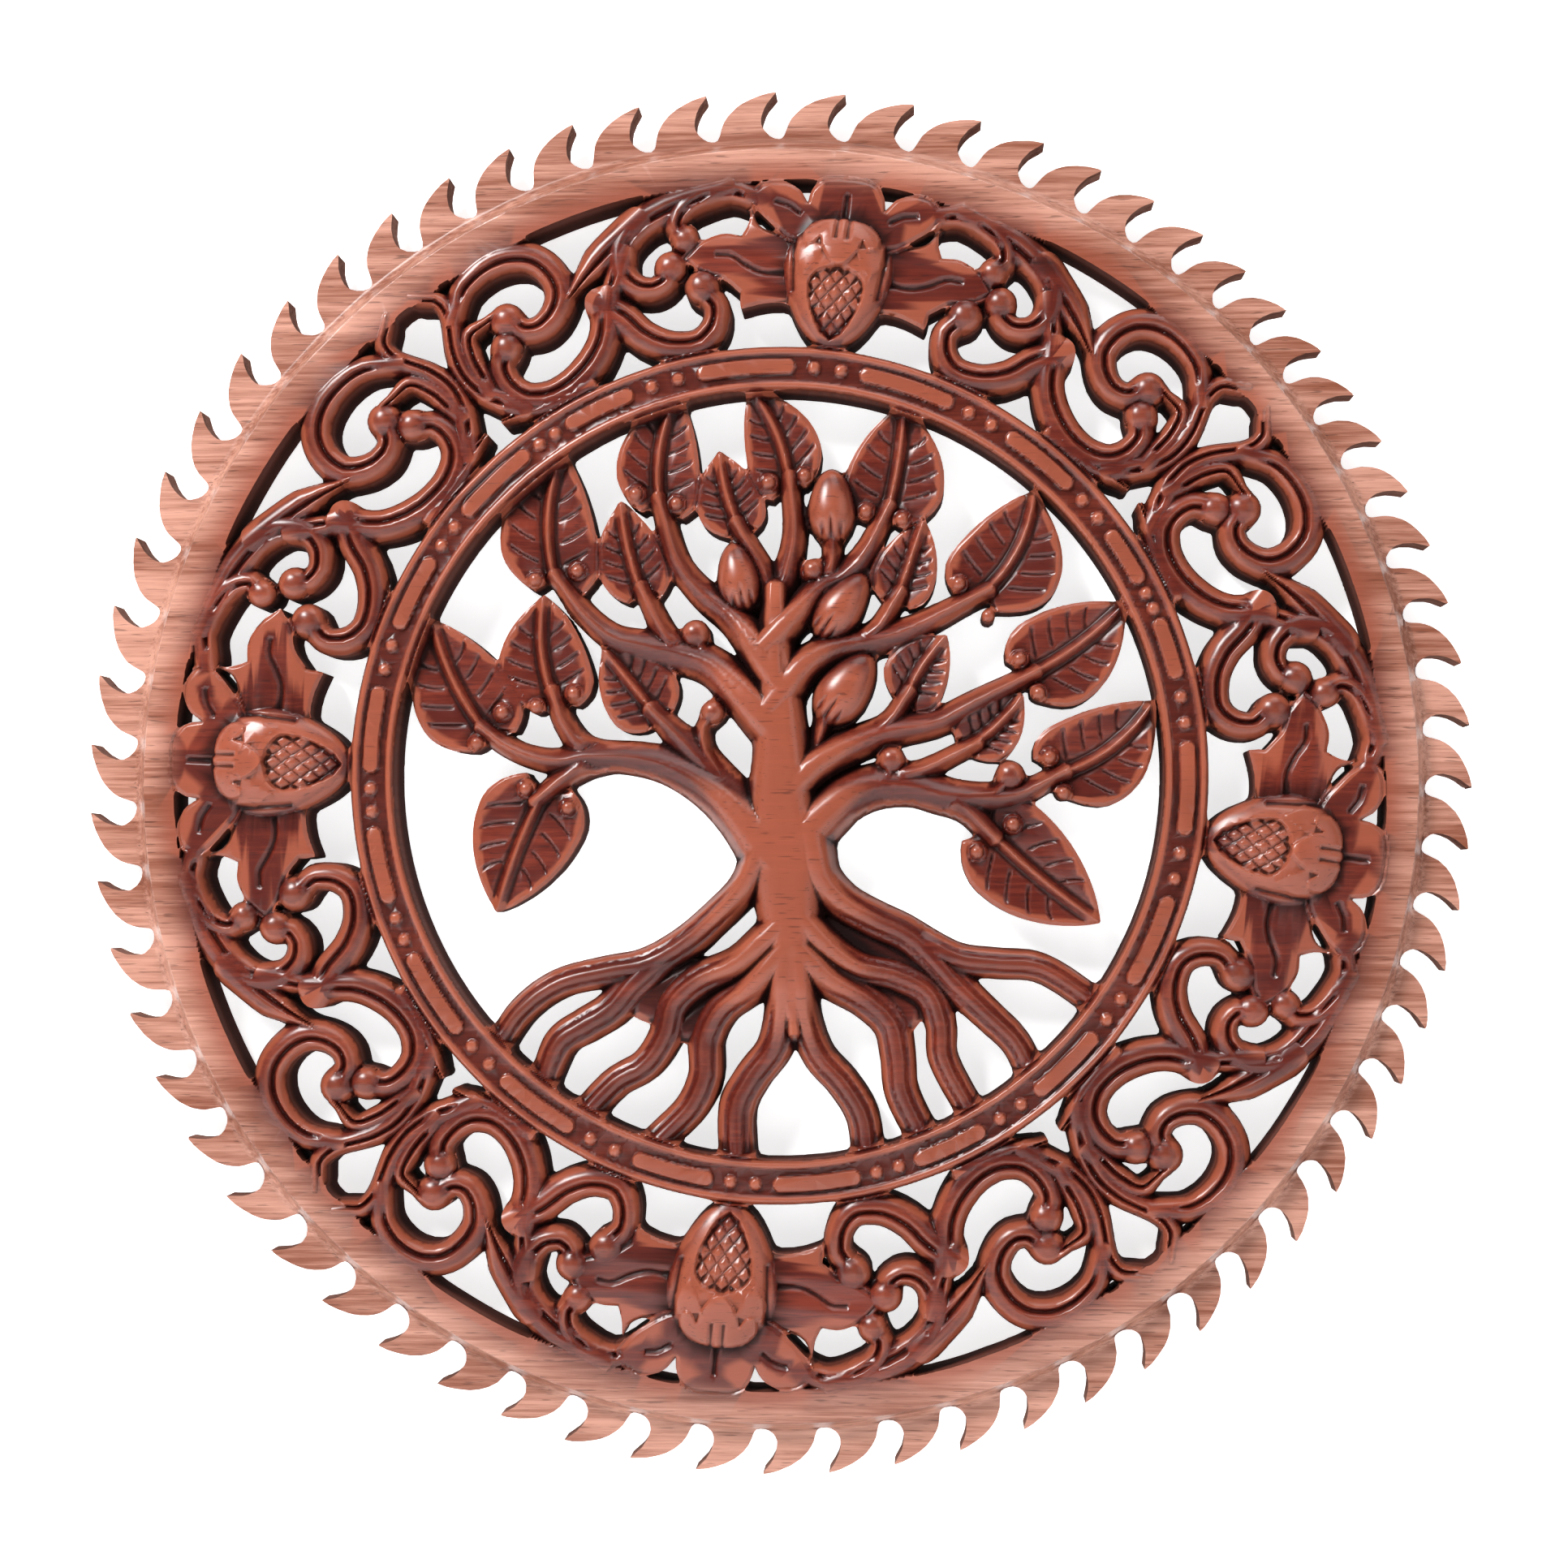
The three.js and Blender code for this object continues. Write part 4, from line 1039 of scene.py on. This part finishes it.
def woodMaterial():
    material = bpy.data.materials.new("stainedWood")
    material.use_nodes = True
    nodeTree = material.node_tree
    shader = nodeTree.nodes["Principled BSDF"]
    start = Wire(nodeTree)
    place = start.add("ShaderNodeTexCoord", {}, {}, "Object")
    facing = start.add("ShaderNodeTexCoord", {}, {}, "Normal")
    height = -1 * start.add("ShaderNodeSeparateXYZ", {}, {0: place}, "Y")
    forward = -1 * start.add("ShaderNodeSeparateXYZ", {}, {0: facing}, "Y")
    flatPlace = place.stretched((1, 0, 1))
    radius = start.add("ShaderNodeVectorMath", {"operation": "LENGTH"}, {0: flatPlace}, "Value")

    bands = place.noise(*wood["bands"])
    streaks = place.noise(*wood["streaks"])
    pores = place.noise(*wood["pores"]).between(*wood["poreTones"])
    tone = wood["bandShare"] * bands + (1 - wood["bandShare"]) * streaks
    onRim = radius.between(*wood["rimStart"])
    inner = 1 - onRim
    # darker towards the back: partly stain, partly painted shade
    deep = 1 - height.between(*wood["deepHeights"])
    # side walls darkened: partly stain, partly painted shade
    sideWallStainAndShade = forward.between(*wood["sideWallFacing"])
    # painted shade: hollows darken towards the recess colour
    hollow = start.painted("cavity").between(*wood["hollowDepths"]) * (1 - wood["rimClears"] * onRim)
    # painted shade: narrow grooves and creases darken towards the recess colour
    incised = start.painted("cut").between(*wood["cutDepths"]) * inner
    # highest parts lighter: partly wear, partly painted sheen
    rubbedAndSheen = height.between(*wood["rubbedAndSheenHeights"])
    # crests lighter: partly wear, partly painted highlight
    wornAndSheen = start.painted("wearAndHighlight").between(*wood["wornAndSheenHeights"]) * inner

    grain = tone.between(*wood["middleTones"]).colour(wood["dark"], wood["middle"])
    grain = tone.between(*wood["lightTones"]).colour(grain, wood["light"])
    # rim and teeth grain between two tones; the paler one is partly painted sheen
    pale = tone.between(*wood["edgeTones"]).colour(wood["edgeDark"], wood["edgeLightAndSheen"])
    grain = (wood["edgeCover"] * onRim).colour(grain, pale)
    grain = (wood["rubbedAndSheenCover"] * rubbedAndSheen).colour(grain, wood["wornAndSheen"])
    grain = (wood["poreCover"] * pores).colour(grain, wood["dark"])
    grain = (wood["wornAndSheenCover"] * wornAndSheen).colour(grain, wood["wornAndSheen"])
    grain = (wood["hollowShadeCover"] * hollow).colour(grain, wood["recessShadeAndStain"])
    grain = (wood["cutShadeCover"] * incised).colour(grain, wood["recessShadeAndStain"])
    grain = (wood["deepStainAndShadeCover"] * deep * inner).colour(grain, wood["recessShadeAndStain"])
    grain = (wood["sideWallStainAndShadeCover"] * sideWallStainAndShade).colour(grain, wood["dark"])
    nodeTree.links.new(grain.socket, shader.inputs["Base Color"])

    rough = wood["roughness"] + wood["streakRough"] * streaks + wood["poreRough"] * pores
    rough = rough + wood["hollowRough"] * hollow + wood["deepRough"] * deep + wood["sawnRough"] * sideWallStainAndShade
    nodeTree.links.new(rough.socket, shader.inputs["Roughness"])
    gloss = wood["coat"] * (1 - deep) * (1 - hollow) * (1 - sideWallStainAndShade) * (1 - wood["cutDulls"] * incised)
    nodeTree.links.new(gloss.socket, shader.inputs["Coat Weight"])
    fine = streaks - wood["poreBump"] * pores
    sockets = {"Height": fine, "Strength": wood["bump"], "Distance": wood["bumpDepth"]}
    bumped = start.add("ShaderNodeBump", {}, sockets)
    nodeTree.links.new(bumped.socket, shader.inputs["Normal"])
    shader.inputs["Specular IOR Level"].default_value = wood["specular"]
    shader.inputs["Coat Roughness"].default_value = wood["coatRoughness"]
    return material


studio = {
    "camera": (0.0428, -0.7722, -0.0344),
    "target": (0.0031, -0.014, -0.0012),
    "lens": 60.0,
    "sensor": 36.0,
    "wallHalf": 3.0,
    "wallGap": 0.004,           # clear space between the panel's back and the wall
    "wallGlow": 0.84,           # keeps the shadows on the wall pale
    "floorDrop": 0.1,           # from the panel's lowest tooth down to the floor
    "white": (0.9, 0.9, 0.9, 1.0),
    "dull": 0.9,
    "daylight": 0.07,
    "daylightColour": (1.0, 1.0, 1.0, 1.0),
    "lamps": [      # name, place, side of the square lamp and power in watts
        ("keyLamp", (-0.75, -1.05, 1.0), 0.5, 35.0),
        ("fillLamp", (1.3, -1.2, 0.5), 1.2, 5.0),
        ("topLamp", (0.3, -0.6, 1.5), 0.9, 8.0),
    ],
}


def plainMaterial(name, oneSided):
    material = bpy.data.materials.new(name)
    material.use_nodes = True
    nodeTree = material.node_tree
    shader = nodeTree.nodes["Principled BSDF"]
    shader.inputs["Base Color"].default_value = studio["white"]
    shader.inputs["Roughness"].default_value = studio["dull"]
    if oneSided:      # seen from behind, the wall isn't there
        shader.inputs["Emission Color"].default_value = studio["white"]
        shader.inputs["Emission Strength"].default_value = studio["wallGlow"]
        start = Wire(nodeTree)
        behind = start.add("ShaderNodeNewGeometry", {}, {}, "Backfacing")
        clear = start.add("ShaderNodeBsdfTransparent", {}, {})
        solid = Wire(nodeTree, shader.outputs[0])
        shown = start.add("ShaderNodeMixShader", {}, {0: behind, 1: solid, 2: clear})
        nodeTree.links.new(shown.socket, nodeTree.nodes["Material Output"].inputs["Surface"])
    return material


def stagePlane(name, corners, oneSided):
    mesh = bpy.data.meshes.new(name)
    mesh.from_pydata(corners, [], [(0, 1, 2, 3)])
    mesh.materials.append(plainMaterial(name, oneSided))
    plane = bpy.data.objects.new(name, mesh)
    bpy.context.scene.collection.objects.link(plane)
    return plane


def aimed(thing, place, target):
    thing.location = place
    thing.rotation_mode = "QUATERNION"
    thing.rotation_quaternion = (Vector(target) - Vector(place)).to_track_quat("-Z", "Y")
    bpy.context.scene.collection.objects.link(thing)
    return thing


def buildStudio():
    half = studio["wallHalf"]
    back = studio["wallGap"]
    low = cadLow.z - studio["floorDrop"]
    wallCorners = [(-half, back, low), (half, back, low), (half, back, half), (-half, back, half)]
    floorCorners = [(-half, -half, low), (half, -half, low), (half, half, low), (-half, half, low)]
    made = [stagePlane("backWall", wallCorners, True), stagePlane("paleFloor", floorCorners, False)]
    for name, place, side, power in studio["lamps"]:
        lamp = bpy.data.lights.new(name, "AREA")
        lamp.size = side
        lamp.energy = power
        made.append(aimed(bpy.data.objects.new(name, lamp), place, studio["target"]))
    view = bpy.data.cameras.new("camera")
    view.lens = studio["lens"]
    view.sensor_width = studio["sensor"]
    camera = aimed(bpy.data.objects.new("camera", view), studio["camera"], studio["target"])
    bpy.context.scene.camera = camera
    world = bpy.data.worlds.new("studioAir")
    world.use_nodes = True
    air = world.node_tree.nodes["Background"]
    air.inputs["Color"].default_value = studio["daylightColour"]
    air.inputs["Strength"].default_value = studio["daylight"]
    bpy.context.scene.world = world
    bpy.context.scene.view_settings.view_transform = "Standard"


relief = carvedRelief()
print("relief carved:", relief.top.shape)
panel = panelObject(relief)
panel.data.materials.append(woodMaterial())
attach(panel, "root")
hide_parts("carved_panel")
print("panel dressed")
buildStudio()
print("studio built")
